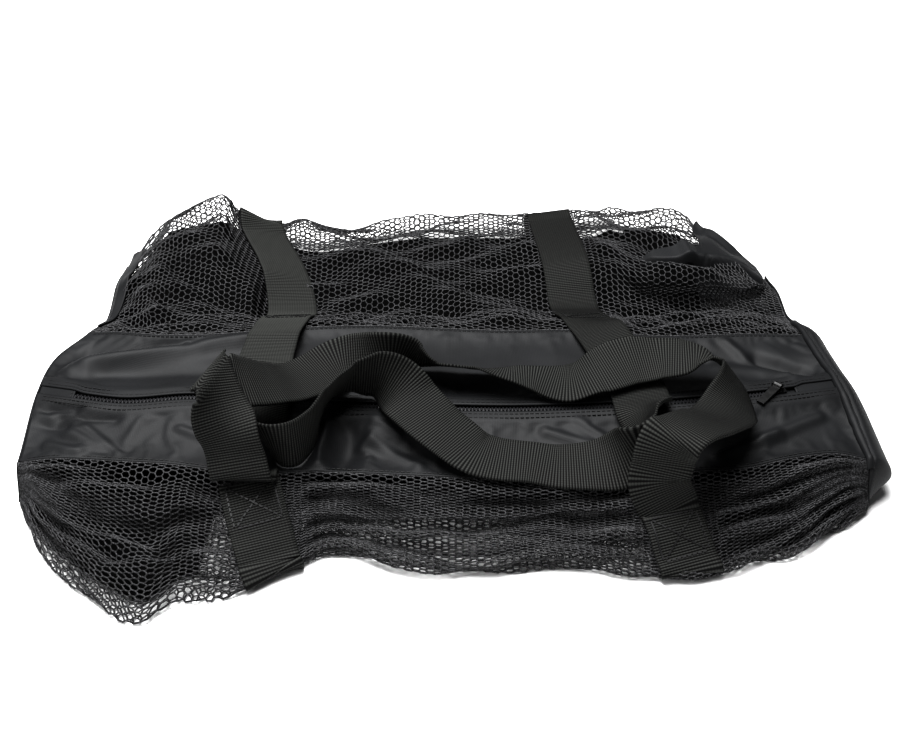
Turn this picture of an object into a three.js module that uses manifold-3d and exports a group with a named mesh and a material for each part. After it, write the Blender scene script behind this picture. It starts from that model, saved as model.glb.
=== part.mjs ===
// A limp duffel bag of nylon and net, lying collapsed on a table with its zip closed.
// The long way of the bag is X, its front is towards -Y, and it rests on the plane Z = 0.
import * as THREE from "three";
import Module from "manifold-3d";
import { mergeVertices } from "three/addons/utils/BufferGeometryUtils.js";

// Driving sizes in millimetres
const NYLON_THICK = 1.0;
const NET_THICK = 1.2;
const WEBBING_WIDTH = 38;
const WEBBING_THICK = 1.5;
const SEWN_GAP = 0.4;
const STRAP_GAP = 3.6;
const HANDLE_GAP = 0.9;
const LEFT_END = -278;
const RIGHT_END = 272;
const FOLD_LIP = 8;
const NET_FLOOR = 2.6;
const BOTTOM_FRONT = -165;
const BOTTOM_BACK = 181;
const BOTTOM_MARGIN = 15;
const CORNER = 120;
const CORNER_RAMP = 40;
const CORNER_MARGIN = 12;
const CORNER_REACH = 22;
const CHANNEL_RISE = 2.1;
const CHANNEL_RAMP = 9;
const CHANNEL_MARGIN = 3;
const BOTTOM_LEFT = [-274, -256, -232];
const BOTTOM_RIGHT = [212, 238, 256, 268];
const BOTTOM_STEPS = 5;
const TUCK_GAP = 1.8;
const TUCK_CEILING = 16;
const EAR_START = 10;
const EAR_REACH = 40;
const EAR_GAP = 9;
const BULGE_FRONT = 0.08;
const BULGE_BACK = 0.16;
const BULGE_END = 0.78;

// Front of the bag at stations along X: where the net folds under, and the seam of the top panel
const FRONT = [
  { x: -278, fold: -170, seam: -154, seamZ: 29 },
  { x: -256, fold: -204, seam: -156, seamZ: 34 },
  { x: -230, fold: -234, seam: -158, seamZ: 35 },
  { x: -207, fold: -253, seam: -160, seamZ: 35 },
  { x: -181, fold: -265, seam: -162, seamZ: 35 },
  { x: -164, fold: -247, seam: -165, seamZ: 35 },
  { x: -126, fold: -241, seam: -173, seamZ: 36 },
  { x: -96, fold: -222, seam: -171, seamZ: 36 },
  { x: -75, fold: -210, seam: -171, seamZ: 36 },
  { x: -30, fold: -224, seam: -174, seamZ: 36 },
  { x: 12, fold: -227, seam: -177, seamZ: 36 },
  { x: 67, fold: -222, seam: -180, seamZ: 36 },
  { x: 121, fold: -229, seam: -179, seamZ: 36 },
  { x: 150, fold: -232, seam: -171, seamZ: 36 },
  { x: 191, fold: -217, seam: -166, seamZ: 36 },
  { x: 218, fold: -208, seam: -158, seamZ: 36 },
  { x: 250, fold: -187, seam: -152, seamZ: 35 },
  { x: 272, fold: -172, seam: -154, seamZ: 32 },
];

// Top panel: the line of the zip and the back seam
const TOP = [
  { x: -278, zip: -88, zipZ: 37, seam: -13, seamZ: 33 },
  { x: -250, zip: -99, zipZ: 41, seam: -18, seamZ: 37 },
  { x: -218, zip: -106, zipZ: 42, seam: -24, seamZ: 39 },
  { x: -175, zip: -104, zipZ: 44, seam: -24, seamZ: 39 },
  { x: -120, zip: -108, zipZ: 44, seam: -18, seamZ: 40 },
  { x: -60, zip: -113, zipZ: 44, seam: -13, seamZ: 39 },
  { x: 33, zip: -117, zipZ: 44, seam: -19, seamZ: 39 },
  { x: 100, zip: -114, zipZ: 44, seam: -20, seamZ: 40 },
  { x: 154, zip: -109, zipZ: 44, seam: -26, seamZ: 39 },
  { x: 220, zip: -98, zipZ: 43, seam: -22, seamZ: 38 },
  { x: 272, zip: -84, zipZ: 39, seam: -19, seamZ: 35 },
];

// Back net: the valley behind the top panel, the crest beyond it, and the outer ridge
const BACK = [
  { x: -278, valley: 20, valleyZ: 24, crest: 60, crestZ: 27, ridge: 100, ridgeZ: 22 },
  { x: -243, valley: 14, valleyZ: 28, crest: 90, crestZ: 43, ridge: 143, ridgeZ: 43 },
  { x: -224, valley: 14, valleyZ: 28, crest: 95, crestZ: 47, ridge: 148, ridgeZ: 50 },
  { x: -208, valley: 16, valleyZ: 27, crest: 97, crestZ: 49, ridge: 150, ridgeZ: 54 },
  { x: -198, valley: 18, valleyZ: 27, crest: 97, crestZ: 49, ridge: 152, ridgeZ: 57 },
  { x: -187, valley: 18, valleyZ: 27, crest: 94, crestZ: 48, ridge: 153, ridgeZ: 59 },
  { x: -178, valley: 18, valleyZ: 27, crest: 84, crestZ: 44, ridge: 168, ridgeZ: 33 },
  { x: -166, valley: 18, valleyZ: 28, crest: 66, crestZ: 37, ridge: 174, ridgeZ: 23 },
  { x: -155, valley: 18, valleyZ: 29, crest: 46, crestZ: 33, ridge: 177, ridgeZ: 19 },
  { x: -142, valley: 40, valleyZ: 16, crest: 112, crestZ: 20, ridge: 178, ridgeZ: 18 },
  { x: -110, valley: 46, valleyZ: 13, crest: 110, crestZ: 19, ridge: 172, ridgeZ: 17 },
  { x: -60, valley: 42, valleyZ: 13, crest: 105, crestZ: 17, ridge: 188, ridgeZ: 14 },
  { x: 0, valley: 42, valleyZ: 13, crest: 105, crestZ: 16, ridge: 200, ridgeZ: 14 },
  { x: 45, valley: 46, valleyZ: 13, crest: 100, crestZ: 19, ridge: 203, ridgeZ: 14 },
  { x: 85, valley: 52, valleyZ: 13, crest: 95, crestZ: 27, ridge: 197, ridgeZ: 20 },
  { x: 130, valley: 52, valleyZ: 13, crest: 92, crestZ: 30, ridge: 212, ridgeZ: 16 },
  { x: 160, valley: 56, valleyZ: 11, crest: 86, crestZ: 37, ridge: 200, ridgeZ: 20 },
  { x: 200, valley: 58, valleyZ: 10, crest: 84, crestZ: 39, ridge: 180, ridgeZ: 28 },
  { x: 240, valley: 50, valleyZ: 14, crest: 80, crestZ: 35, ridge: 132, ridgeZ: 28 },
  { x: 272, valley: 22, valleyZ: 24, crest: 48, crestZ: 27, ridge: 84, ridgeZ: 22 },
];

// How far the two ends of the bag lean in from LEFT_END and RIGHT_END at stations along Y
const ENDS = [
  { y: -170, left: 0, right: -2 },
  { y: -90, left: -5, right: -5 },
  { y: -45, left: -4, right: -9 },
  { y: 0, left: 14, right: -12 },
  { y: 80, left: 12, right: -16 },
  { y: 150, left: 14, right: -22 },
];
const END_REACH = 70;

// Folds and dents of the upper side: a crease line, its half width and its height
const FOLDS = [
  { fromX: -126, fromY: 158, toX: 46, toY: 21, width: 17, height: 11 },
  { fromX: -246, fromY: -190, toX: -165, toY: -226, width: 9, height: -7 },
  { fromX: -240, fromY: -182, toX: -165, toY: -186, width: 8, height: 4 },
  { fromX: -200, fromY: -232, toX: -140, toY: -226, width: 8, height: 5 },
  { fromX: -60, fromY: -196, toX: 100, toY: -203, width: 7, height: -5 },
  { fromX: 20, fromY: -216, toX: 125, toY: -212, width: 8, height: 4 },
  { fromX: 165, fromY: -188, toX: 215, toY: -180, width: 10, height: -8 },
  { fromX: -242, fromY: -69, toX: -165, toY: -69, width: 9, height: -4 },
  { fromX: -60, fromY: -150, toX: -25, toY: -148, width: 12, height: -5 },
  { fromX: 185, fromY: -55, toX: 255, toY: -62, width: 12, height: -5 },
  { fromX: 170, fromY: 28, toX: 245, toY: 18, width: 8, height: 4 },
  { fromX: 175, fromY: 118, toX: 215, toY: 150, width: 14, height: -8 },
  { fromX: -218, fromY: 66, toX: -158, toY: 26, width: 9, height: -7 },
  { fromX: -264, fromY: 57, toX: -224, toY: 17, width: 8, height: 4 },
  { fromX: -224, fromY: 17, toX: -150, toY: 5, width: 7, height: 4 },
];

// The net's fold on the table: how far each row stands out from the edge, and its share of the height there
const NOSE = [
  { out: 0, share: 0.72 },
  { out: 0.6, share: 0.38 },
  { out: -2.5, share: 0 },
];
const HEM_OVER = 3;

// Under the bag the straps run askew: their centre lines at the front fold and at the back ridge
const STRAP_RUNS = {
  left: { front: -108, back: -166 },
  right: { front: 147, back: 86 },
};

// Legs of the straps on the net: the first row of net each lies on, and its line from the seam to the fold
const FRONT_LEGS = {
  left: { firstRow: 1, line: [{ share: 0, x: -128 }, { share: 1, x: -108 }] },
  right: { firstRow: 3, line: [{ share: 0, x: 130 }, { share: 1, x: 147 }] },
};
const BACK_LEFT_LINE = [
  { share: 0, x: -124 },
  { share: 0.3, x: -124 },
  { share: 0.52, x: -134 },
  { share: 0.72, x: -152 },
  { share: 0.86, x: -164 },
  { share: 1, x: -166 },
];
const BACK_LEGS = {
  left: { firstRow: 1, line: BACK_LEFT_LINE },
  right: { firstRow: 1, line: [{ share: 0, x: 104 }, { share: 1, x: 86 }] },
};

// Free handles: centre of the webbing, the heading and rise in degrees of the line across it, and how far
// that line keeps its slant along the band, so that the band can fold over it
const FRONT_HANDLE = [
  { x: -128, y: -190, z: 48, turn: -4, rise: 2 },
  { x: -131, y: -184, z: 61, turn: -8, rise: 8 },
  { x: -134, y: -180, z: 72, turn: -6, rise: 10 },
  { x: -137, y: -175, z: 81, turn: 14, rise: -4 },
  { x: -140, y: -168, z: 90, turn: 45, rise: -14, slant: 0.6 },
  { x: -142, y: -162, z: 97, turn: 68, rise: -8, slant: 1 },
  { x: -144, y: -157, z: 102, turn: 75, rise: -5, slant: 1 },
  { x: -147, y: -153.5, z: 103.5, turn: 75, rise: -5, slant: 1 },
  { x: -148.5, y: -150, z: 99.5, turn: 75, rise: -5, slant: 1 },
  { x: -145, y: -147.5, z: 93, turn: 76, rise: -3, slant: 1 },
  { x: -137, y: -142, z: 87, turn: 84, rise: 12, slant: 0.5 },
  { x: -126, y: -134, z: 80, turn: 94, rise: 8 },
  { x: -114, y: -123, z: 71, turn: 101, rise: 0 },
  { x: -102, y: -110, z: 62, turn: 108, rise: 0 },
  { x: -88, y: -96, z: 58, turn: 105, rise: 10 },
  { x: -74, y: -86, z: 58, turn: 108, rise: 32 },
  { x: -55, y: -87, z: 61, turn: 102, rise: 62 },
  { x: -40, y: -86, z: 63, turn: 98, rise: 88 },
  { x: -24, y: -81, z: 58, turn: -88, rise: 60 },
  { x: -9, y: -82.5, z: 55, turn: -90, rise: 40 },
  { x: 4, y: -85, z: 55, turn: -90, rise: 37 },
  { x: 20, y: -87, z: 53, turn: -92, rise: 37 },
  { x: 40, y: -90, z: 53, turn: -102, rise: 24 },
  { x: 58, y: -92, z: 50.5, turn: -104, rise: 12 },
  { x: 81, y: -97, z: 50.5, turn: -109, rise: -6 },
  { x: 100, y: -94, z: 57.5, turn: -111, rise: -17 },
  { x: 121, y: -87, z: 61.5, turn: -106, rise: -19 },
  { x: 141, y: -84, z: 61.5, turn: -97, rise: -10 },
  { x: 157, y: -86, z: 64, turn: -98, rise: -3 },
  { x: 170, y: -88, z: 66, turn: -100, rise: 18 },
  { x: 180, y: -93, z: 65, turn: -112, rise: 40 },
  { x: 188, y: -103, z: 63, turn: -136, rise: 50 },
  { x: 188, y: -117, z: 61, turn: -154, rise: 42 },
  { x: 182, y: -134, z: 61, turn: -168, rise: 22 },
  { x: 170, y: -153, z: 66, turn: 160, rise: 3 },
  { x: 158, y: -167, z: 74, turn: 146, rise: 0 },
  { x: 144, y: -179, z: 79, turn: 144, rise: -3 },
  { x: 135, y: -186, z: 78, turn: 150, rise: -2 },
  { x: 131, y: -188, z: 70, turn: 164, rise: 0 },
  { x: 129.5, y: -189, z: 58, turn: 175, rise: 0 },
  { x: 128, y: -193, z: 46, turn: 180, rise: 0 },
];
const BACK_HANDLE = [
  { x: -126, y: -25, z: 44.5, turn: -12, rise: 6 },
  { x: -129, y: -62, z: 46, turn: -15, rise: 0 },
  { x: -127, y: -85, z: 45.5, turn: -10, rise: 0 },
  { x: -125, y: -103, z: 47, turn: -8, rise: 0 },
  { x: -125, y: -130, z: 50, turn: 4, rise: -20 },
  { x: -122, y: -152, z: 54, turn: 40, rise: -54 },
  { x: -116, y: -165, z: 56, turn: 64, rise: -72 },
  { x: -108, y: -170, z: 57, turn: 76, rise: -81 },
  { x: -97, y: -168, z: 57, turn: 90, rise: -87 },
  { x: -89, y: -158, z: 58, turn: 118, rise: -84 },
  { x: -85, y: -148, z: 60, turn: 120, rise: -78 },
  { x: -82, y: -136, z: 62, turn: 110, rise: -64 },
  { x: -79, y: -129, z: 64, turn: 110, rise: -58 },
  { x: -74, y: -121, z: 66, turn: 111, rise: -57 },
  { x: -66, y: -114, z: 67, turn: 114, rise: -62 },
  { x: -57, y: -112, z: 67, turn: 124, rise: -74 },
  { x: -46, y: -110, z: 66, turn: -170, rise: -80 },
  { x: -34, y: -116, z: 62, turn: -125, rise: -48 },
  { x: -24, y: -126, z: 57, turn: -115, rise: -20 },
  { x: -9, y: -142, z: 52, turn: -111, rise: -10 },
  { x: 3, y: -152, z: 48, turn: -108, rise: -8 },
  { x: 15, y: -161, z: 44.5, turn: -106, rise: -4 },
  { x: 28, y: -165, z: 42.5, turn: -103, rise: -2 },
  { x: 51, y: -168, z: 41, turn: -92, rise: 0 },
  { x: 69, y: -171, z: 41, turn: -90, rise: -3 },
  { x: 93, y: -172, z: 43, turn: -88, rise: -15 },
  { x: 108, y: -172, z: 48, turn: -80, rise: -45 },
  { x: 118, y: -170, z: 53.5, turn: -30, rise: -85 },
  { x: 123, y: -161, z: 55, turn: 100, rise: -65 },
  { x: 125, y: -150, z: 56, turn: 105, rise: -46 },
  { x: 127, y: -133, z: 54, turn: 130, rise: -32 },
  { x: 127, y: -116, z: 50, turn: 148, rise: -10 },
  { x: 125, y: -89, z: 47, turn: 170, rise: -5 },
  { x: 120, y: -66, z: 45.5, turn: -165, rise: 0 },
  { x: 116, y: -48, z: 44.5, turn: -150, rise: -3 },
  { x: 110, y: -27, z: 43.5, turn: -155, rise: -5 },
];

// The collapsed end panels, from the seam outwards, then tucked in and back out to the bottom
// The ear of a row is its share of the rise into the raised corner of the back net
const TUCK_LEFT = [
  { inset: -1, level: 0.98, margin: 1, ear: 0 },
  { inset: -3, level: 0.6, margin: 4, ear: 0 },
  { inset: -2, level: 0.4, margin: 9, ear: 0.5 },
  { inset: 14, level: 0.38, margin: 9, ear: 1 },
  { inset: 60, level: 0.4, margin: 20, ear: 1 },
  { inset: 118, level: 0.42, margin: 18, ear: 0.8 },
  { inset: 122, level: 0.33, margin: 18, ear: 0.4 },
  { inset: 118, level: 0.24, margin: 18, ear: 0 },
  { inset: 60, level: 0.22, margin: 15, ear: 0 },
  { inset: 14, level: 0.2, margin: 15, ear: 0 },
  { inset: 2, level: 0.16, margin: 13, ear: 0 },
];
const TUCK_RIGHT = [
  { inset: -1, level: 0.98, margin: 1, ear: 0 },
  { inset: -6, level: 1.05, margin: 2, ear: 0 },
  { inset: -13, level: 0.88, margin: 2, ear: 0 },
  { inset: -19, level: 0.58, margin: 2, ear: 0 },
  { inset: -20, level: 0.32, margin: 3, ear: 0 },
  { inset: -14, level: 0.25, margin: 8, ear: 0 },
  { inset: 10, level: 0.34, margin: 6, ear: 0 },
  { inset: 60, level: 0.4, margin: 6, ear: 0 },
  { inset: 112, level: 0.42, margin: 15, ear: 0 },
  { inset: 116, level: 0.33, margin: 18, ear: 0 },
  { inset: 112, level: 0.24, margin: 18, ear: 0 },
  { inset: 60, level: 0.22, margin: 15, ear: 0 },
  { inset: 10, level: 0.2, margin: 15, ear: 0 },
  { inset: 2, level: 0.16, margin: 13, ear: 0 },
];

// Zip, with its chain between two stations along X
const ZIP_SLOT = 9;
const TAPE_WIDTH = 24;
const TAPE_THICK = 0.8;
const TAPE_DROP = 1.5;
const CHAIN_WIDTH = 5.6;
const CHAIN_HEIGHT = 2.4;
const ZIP_COVER = 11;
const TAPE_OVER = 3;
const CHAIN_LEFT = -252;
const CHAIN_RIGHT = 214;
const TAB_LENGTH = 24;
const TAB_WIDTH = 20;
const TAB_RISE = 1.6;
const TAB_RIGHT = 238;
const SLIDER = { station: 223, length: 11, width: 7.6, height: 3.4, rise: 0.3 };
const BRIDGE = { width: 9, post: 1.3, bar: 1.4, above: 3.6 };
const PULL = { heading: 226, width: 5.4, length: 22, thick: 1.5, eyeOuter: 2.4, eyeInner: 1.3, droop: 6 };

// How finely the cloth is divided
const PANEL_STEPS = 36;
const TOP_FRONT_STEPS = 4;
const TOP_BACK_STEPS = 5;
const ROWS_UNDER_BAG = 2;
const ZIP_STEPS = 26;
const FRONT_SHARES = [0, 0.1, 0.22, 0.36, 0.52, 0.68, 0.83, 0.94];
const BACK_SHARES = [0, 0.07, 0.15, 0.23, 0.31, 0.39, 0.48, 0.58, 0.7, 0.84, 0.95];
const BAND_COLUMNS = 3;
const RUN_STEPS = 4;
const RUN_GAP = 0.8;
const RUN_INSET = 9;
const STEPS_PER_ROW = 2;
const END_STEPS = 12;
const EYE_SEGMENTS = 10;
const WELD = 1e-4;

const smooth = (t) => t * t * (3 - 2 * t);
const clamp01 = (t) => Math.min(1, Math.max(0, t));
const mix = (a, b, t) => a + (b - a) * t;

// One column of a table, read between its rows along a smooth curve
function read(table, key, column, at) {
  const last = table.length - 1;
  let i = table.findIndex((row) => row[key] > at) - 1;
  if (i < 0) i = at < table[0][key] ? 0 : last - 1;
  const near = table[i];
  const far = table[i + 1];
  const span = far[key] - near[key];
  const slope = (a, b) => (b[column] - a[column]) / (b[key] - a[key]);
  const slopeNear = i > 0 ? slope(table[i - 1], far) : slope(near, far);
  const slopeFar = i + 2 <= last ? slope(near, table[i + 2]) : slope(near, far);
  const t = clamp01((at - near[key]) / span);
  const t2 = t * t;
  const t3 = t2 * t;
  return (
    near[column] * (2 * t3 - 3 * t2 + 1) +
    far[column] * (3 * t2 - 2 * t3) +
    span * (slopeNear * (t3 - 2 * t2 + t) + slopeFar * (t3 - t2))
  );
}

// A station along the bag, moved to where the leaning ends put it at depth y
function leanX(station, y) {
  const left = 1 - smooth(clamp01((station - LEFT_END) / END_REACH));
  const right = 1 - smooth(clamp01((RIGHT_END - station) / END_REACH));
  return station + left * read(ENDS, "y", "left", y) + right * read(ENDS, "y", "right", y);
}

// The places across the bag that its upper side passes through at a station
function keysAt(station) {
  const front = (column) => read(FRONT, "x", column, station);
  const top = (column) => read(TOP, "x", column, station);
  const back = (column) => read(BACK, "x", column, station);
  return [
    { y: front("fold"), z: FOLD_LIP },
    { y: front("seam"), z: front("seamZ") },
    { y: top("zip"), z: top("zipZ") },
    { y: top("seam"), z: top("seamZ") },
    { y: back("valley"), z: back("valleyZ") },
    { y: back("crest"), z: back("crestZ") },
    { y: back("ridge"), z: back("ridgeZ") },
  ];
}

// The upper side of the bag: a soft profile through those places, with its folds
function upperZ(station, y) {
  const keys = keysAt(station);
  let i = keys.findIndex((key) => key.y > y) - 1;
  if (i < 0) i = y < keys[0].y ? 0 : keys.length - 2;
  const t = clamp01((y - keys[i].y) / (keys[i + 1].y - keys[i].y));
  let z = mix(keys[i].z, keys[i + 1].z, smooth(t));
  for (const fold of FOLDS) {
    const alongX = fold.toX - fold.fromX;
    const alongY = fold.toY - fold.fromY;
    const offX = station - fold.fromX;
    const offY = y - fold.fromY;
    const share = clamp01((offX * alongX + offY * alongY) / (alongX ** 2 + alongY ** 2));
    const away = Math.hypot(offX - share * alongX, offY - share * alongY);
    z += fold.height * Math.exp(-((away / fold.width) ** 2));
  }
  return Math.max(z, FOLD_LIP);
}

const frontSeam = (station) => read(FRONT, "x", "seam", station);
const backSeam = (station) => read(TOP, "x", "seam", station);
const zipLine = (station) => read(TOP, "x", "zip", station);
const frontFold = (station) => read(FRONT, "x", "fold", station);
const backRidge = (station) => read(BACK, "x", "ridge", station);
const bottomFront = (station) => Math.max(BOTTOM_FRONT, frontFold(station) + BOTTOM_MARGIN);
const bottomBack = (station) => {
  const corner = smooth(clamp01((station - CORNER) / CORNER_RAMP));
  const margin = mix(BOTTOM_MARGIN, CORNER_MARGIN, corner);
  return Math.min(BOTTOM_BACK + CORNER_REACH * corner, backRidge(station) - margin);
};
const stationAt = (u) => mix(LEFT_END, RIGHT_END, u);

// A point on a grid of points, straight between its neighbours
function onGrid(grid, u, v) {
  const split = (share, count) => {
    const place = clamp01(share) * (count - 1);
    const i = Math.min(Math.floor(place), count - 2);
    return { i, rest: place - i };
  };
  const across = split(u, grid.length);
  const along = split(v, grid[0].length);
  const line = (i) => grid[i][along.i].clone().lerp(grid[i][along.i + 1], along.rest);
  return line(across.i).lerp(line(across.i + 1), across.rest);
}
function normalOn(surface, u, v) {
  const nudge = 2e-3;
  const alongU = surface(Math.min(1, u + nudge), v).sub(surface(Math.max(0, u - nudge), v));
  const alongV = surface(u, Math.min(1, v + nudge)).sub(surface(u, Math.max(0, v - nudge)));
  return alongU.cross(alongV).normalize();
}

// The box's sixth side, at its back, is the inner side of a wall
const INNER_SIDE = 5;

// A closed wall of even thickness about a surface that is given for u and v from 0 to 1, with the
// quads of its inner side split along the same diagonals as those of its outer side
function wall(uSteps, vSteps, thick, surface) {
  const geometry = new THREE.BoxGeometry(1, 1, 1, uSteps, vSteps, 1);
  const place = geometry.getAttribute("position");
  const inner = geometry.groups[INNER_SIDE];
  for (let i = inner.start; i < inner.start + inner.count; i += 6) {
    const [a, b, d, , c] = geometry.index.array.slice(i, i + 6);
    geometry.index.array.set([a, b, c, a, c, d], i);
  }
  for (let i = 0; i < place.count; i++) {
    const u = place.getX(i) + 0.5;
    const v = place.getY(i) + 0.5;
    const at = surface(u, v).addScaledVector(normalOn(surface, u, v), thick * place.getZ(i));
    place.setXYZ(i, at.x, at.y, at.z);
  }
  geometry.computeVertexNormals();
  return geometry;
}
const gridWall = (grid, thick) =>
  wall(grid.length - 1, grid[0].length - 1, thick, (u, v) => onGrid(grid, u, v));

// A panel as a grid of points: one line of them across the bag at each station along it
function panelGrid(section) {
  return Array.from({ length: PANEL_STEPS + 1 }, (_, i) => {
    const station = stationAt(i / PANEL_STEPS);
    return section(station).map(([y, z]) => new THREE.Vector3(leanX(station, y), y, z));
  });
}

// A net panel's section from the seam of the top panel, over the fold and back to the bottom panel
function netSection(station, seam, edge, bottom, shares) {
  const side = Math.sign(edge - seam);
  const rim = upperZ(station, edge);
  const upper = shares.map((share) => {
    const y = mix(seam + side * SEWN_GAP, edge - side, share);
    return [y, upperZ(station, y)];
  });
  return [
    ...upper,
    ...NOSE.map(({ out, share }) => [edge + side * out, mix(NET_FLOOR, rim, share)]),
    [(edge + bottom) / 2, NET_FLOOR],
    [bottom + side * HEM_OVER, NET_FLOOR],
  ];
}
const frontNet = panelGrid((station) =>
  netSection(station, frontSeam(station), frontFold(station), bottomFront(station), FRONT_SHARES),
);
const backNet = panelGrid((station) =>
  netSection(station, backSeam(station), backRidge(station), bottomBack(station), BACK_SHARES),
);

// A half of the top panel, between a seam and the slot of the zip
function topGrid(from, to, steps) {
  return panelGrid((station) =>
    Array.from({ length: steps + 1 }, (_, j) => {
      const y = mix(from(station), to(station), j / steps);
      return [y, upperZ(station, y)];
    }),
  );
}
const topFront = topGrid(
  (station) => frontSeam(station) + SEWN_GAP,
  (station) => zipLine(station) - ZIP_SLOT / 2,
  TOP_FRONT_STEPS,
);
const topBack = topGrid(
  (station) => zipLine(station) + ZIP_SLOT / 2,
  (station) => backSeam(station) - SEWN_GAP,
  TOP_BACK_STEPS,
);

// Bottom panel, flat on the table but for the channels in which the straps run beneath it
function strapLine(run, y) {
  const share = (y - frontFold(run.front)) / (backRidge(run.back) - frontFold(run.front));
  return mix(run.front, run.back, share);
}
function bottomGrid() {
  const half = WEBBING_WIDTH / 2 + CHANNEL_MARGIN;
  const channel = [
    { offset: -half - CHANNEL_RAMP, rise: 0 },
    { offset: -half, rise: CHANNEL_RISE },
    { offset: half, rise: CHANNEL_RISE },
    { offset: half + CHANNEL_RAMP, rise: 0 },
  ];
  const flat = (x) => ({ at: () => x, rise: 0 });
  const raised = (run) =>
    channel.map(({ offset, rise }) => ({ at: (y) => strapLine(run, y) + offset, rise }));
  const columns = [
    ...BOTTOM_LEFT.map(flat),
    ...raised(STRAP_RUNS.left),
    ...raised(STRAP_RUNS.right),
    ...BOTTOM_RIGHT.map(flat),
  ];
  return columns.map(({ at, rise }) =>
    Array.from({ length: BOTTOM_STEPS + 1 }, (_, j) => {
      const station = at(mix(BOTTOM_FRONT, BOTTOM_BACK, j / BOTTOM_STEPS));
      const y = mix(bottomFront(station), bottomBack(station), j / BOTTOM_STEPS);
      return new THREE.Vector3(leanX(station, y), y, NYLON_THICK / 2 + rise);
    }),
  );
}

// End panels, collapsed and tucked in between the top and the bottom of the bag
function endPanel(side, tuck) {
  const end = side < 0 ? LEFT_END : RIGHT_END;
  return Array.from({ length: END_STEPS + 1 }, (_, i) =>
    tuck.map(({ inset, level, margin, ear }) => {
      const share = side < 0 ? i / END_STEPS : 1 - i / END_STEPS;
      const station = end - side * Math.max(0, inset);
      const y = mix(frontFold(station) + margin, backRidge(station) - margin, share);
      const atBack = smooth(clamp01((BULGE_END - share) / BULGE_BACK));
      const fade = smooth(clamp01(share / BULGE_FRONT)) * atBack;
      const out = inset < 0 ? side * mix(1, -inset, fade) : 0;
      const upper = upperZ(station, y);
      const roof = inset < 0 ? upper : Math.min(upper, TUCK_CEILING) - TUCK_GAP;
      const low = mix(NET_FLOOR + TUCK_GAP, roof, level);
      const rise = ear * smooth(clamp01((y - EAR_START) / EAR_REACH));
      const z = low + rise * Math.max(0, upper - EAR_GAP - low);
      return new THREE.Vector3(leanX(station, y) + out, y, z);
    }),
  );
}

// The leg of a strap on a net panel, from a row below the seam to the fold, then its run under the bag
function legRungs(net, side, leg, run) {
  const lift = NET_THICK / 2 + STRAP_GAP + WEBBING_THICK / 2;
  const rows = net[0].length - 1;
  const lastRow = rows - ROWS_UNDER_BAG;
  const surface = (u, v) => onGrid(net, u, v);
  const edgeX = side < 0 ? run.front : run.back;
  const columns = Array.from(
    { length: BAND_COLUMNS + 1 },
    (_, k) => (k / BAND_COLUMNS - 0.5) * WEBBING_WIDTH,
  );
  const rungs = [];
  for (let row = leg.firstRow; row <= lastRow; row++) {
    const middle = read(leg.line, "share", "x", row / lastRow);
    rungs.push(
      columns.map((offset) => {
        const u = (middle + offset - LEFT_END) / (RIGHT_END - LEFT_END);
        const at = surface(u, row / rows).addScaledVector(normalOn(surface, u, row / rows), side * lift);
        at.z = Math.max(at.z, WEBBING_THICK / 2);
        return at;
      }),
    );
  }
  const start = side < 0 ? frontFold(edgeX) + RUN_INSET : backRidge(edgeX) - RUN_INSET;
  for (let i = 0; i <= RUN_STEPS; i++) {
    const y = mix(start, (side * RUN_GAP) / 2, i / RUN_STEPS);
    rungs.push(columns.map((offset) => new THREE.Vector3(strapLine(run, y) + offset, y, WEBBING_THICK / 2)));
  }
  return rungs;
}

// The free handle between two legs, along a smooth curve through the rows of its table
function handleRungs(rows, first, last) {
  const middle = (rung) => rung[0].clone().add(rung[BAND_COLUMNS]).multiplyScalar(0.5);
  const acrossOf = (rung) => rung[BAND_COLUMNS].clone().sub(rung[0]).normalize();
  const turned = rows.map(({ turn, rise }) =>
    new THREE.Vector3(1, 0, 0).applyEuler(
      new THREE.Euler(0, -THREE.MathUtils.degToRad(rise), THREE.MathUtils.degToRad(turn), "ZYX"),
    ),
  );
  const places = rows.map(({ x, y, z }) => new THREE.Vector3(x, y, z));
  const path = new THREE.CatmullRomCurve3([middle(first), ...places, middle(last)]);
  const twist = new THREE.CatmullRomCurve3([acrossOf(first), ...turned, acrossOf(last).negate()]);
  const slants = [0, ...rows.map(({ slant = 0 }) => slant), 0];
  const slantAt = (share) => {
    const place = share * (slants.length - 1);
    const row = Math.min(Math.floor(place), slants.length - 2);
    return mix(slants[row], slants[row + 1], place - row);
  };
  const steps = (rows.length + 1) * STEPS_PER_ROW;
  const clear = (NYLON_THICK + WEBBING_THICK) / 2 + HANDLE_GAP;
  const rungs = [];
  for (let i = 1; i < steps; i++) {
    const at = path.getPoint(i / steps);
    const along = path.getTangent(i / steps);
    const across = twist.getPoint(i / steps);
    const onward = across.dot(along);
    across.addScaledVector(along, -onward);
    const slant = (slantAt(i / steps) * onward) / across.length();
    across.setLength(WEBBING_WIDTH).addScaledVector(along, slant * WEBBING_WIDTH);
    const rung = Array.from({ length: BAND_COLUMNS + 1 }, (_, k) =>
      at.clone().addScaledVector(across, k / BAND_COLUMNS - 0.5),
    );
    const overZip = ({ x, y }) => Math.abs(y - zipLine(x)) < ZIP_COVER;
    const floor = (point) => upperZ(point.x, point.y) + (overZip(point) ? CHAIN_HEIGHT : 0);
    const short = Math.max(0, ...rung.map((point) => floor(point) + clear - point.z));
    rungs.push(rung.map((point) => point.setZ(point.z + short)));
  }
  return rungs;
}
function strapGrid(net, side, legs, handle) {
  const leftLeg = legRungs(net, side, legs.left, STRAP_RUNS.left);
  const rightLeg = legRungs(net, side, legs.right, STRAP_RUNS.right);
  const free = handleRungs(handle, leftLeg[0], rightLeg[0]);
  return [...leftLeg.reverse(), ...free, ...rightLeg.map((rung) => rung.reverse())];
}

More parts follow.
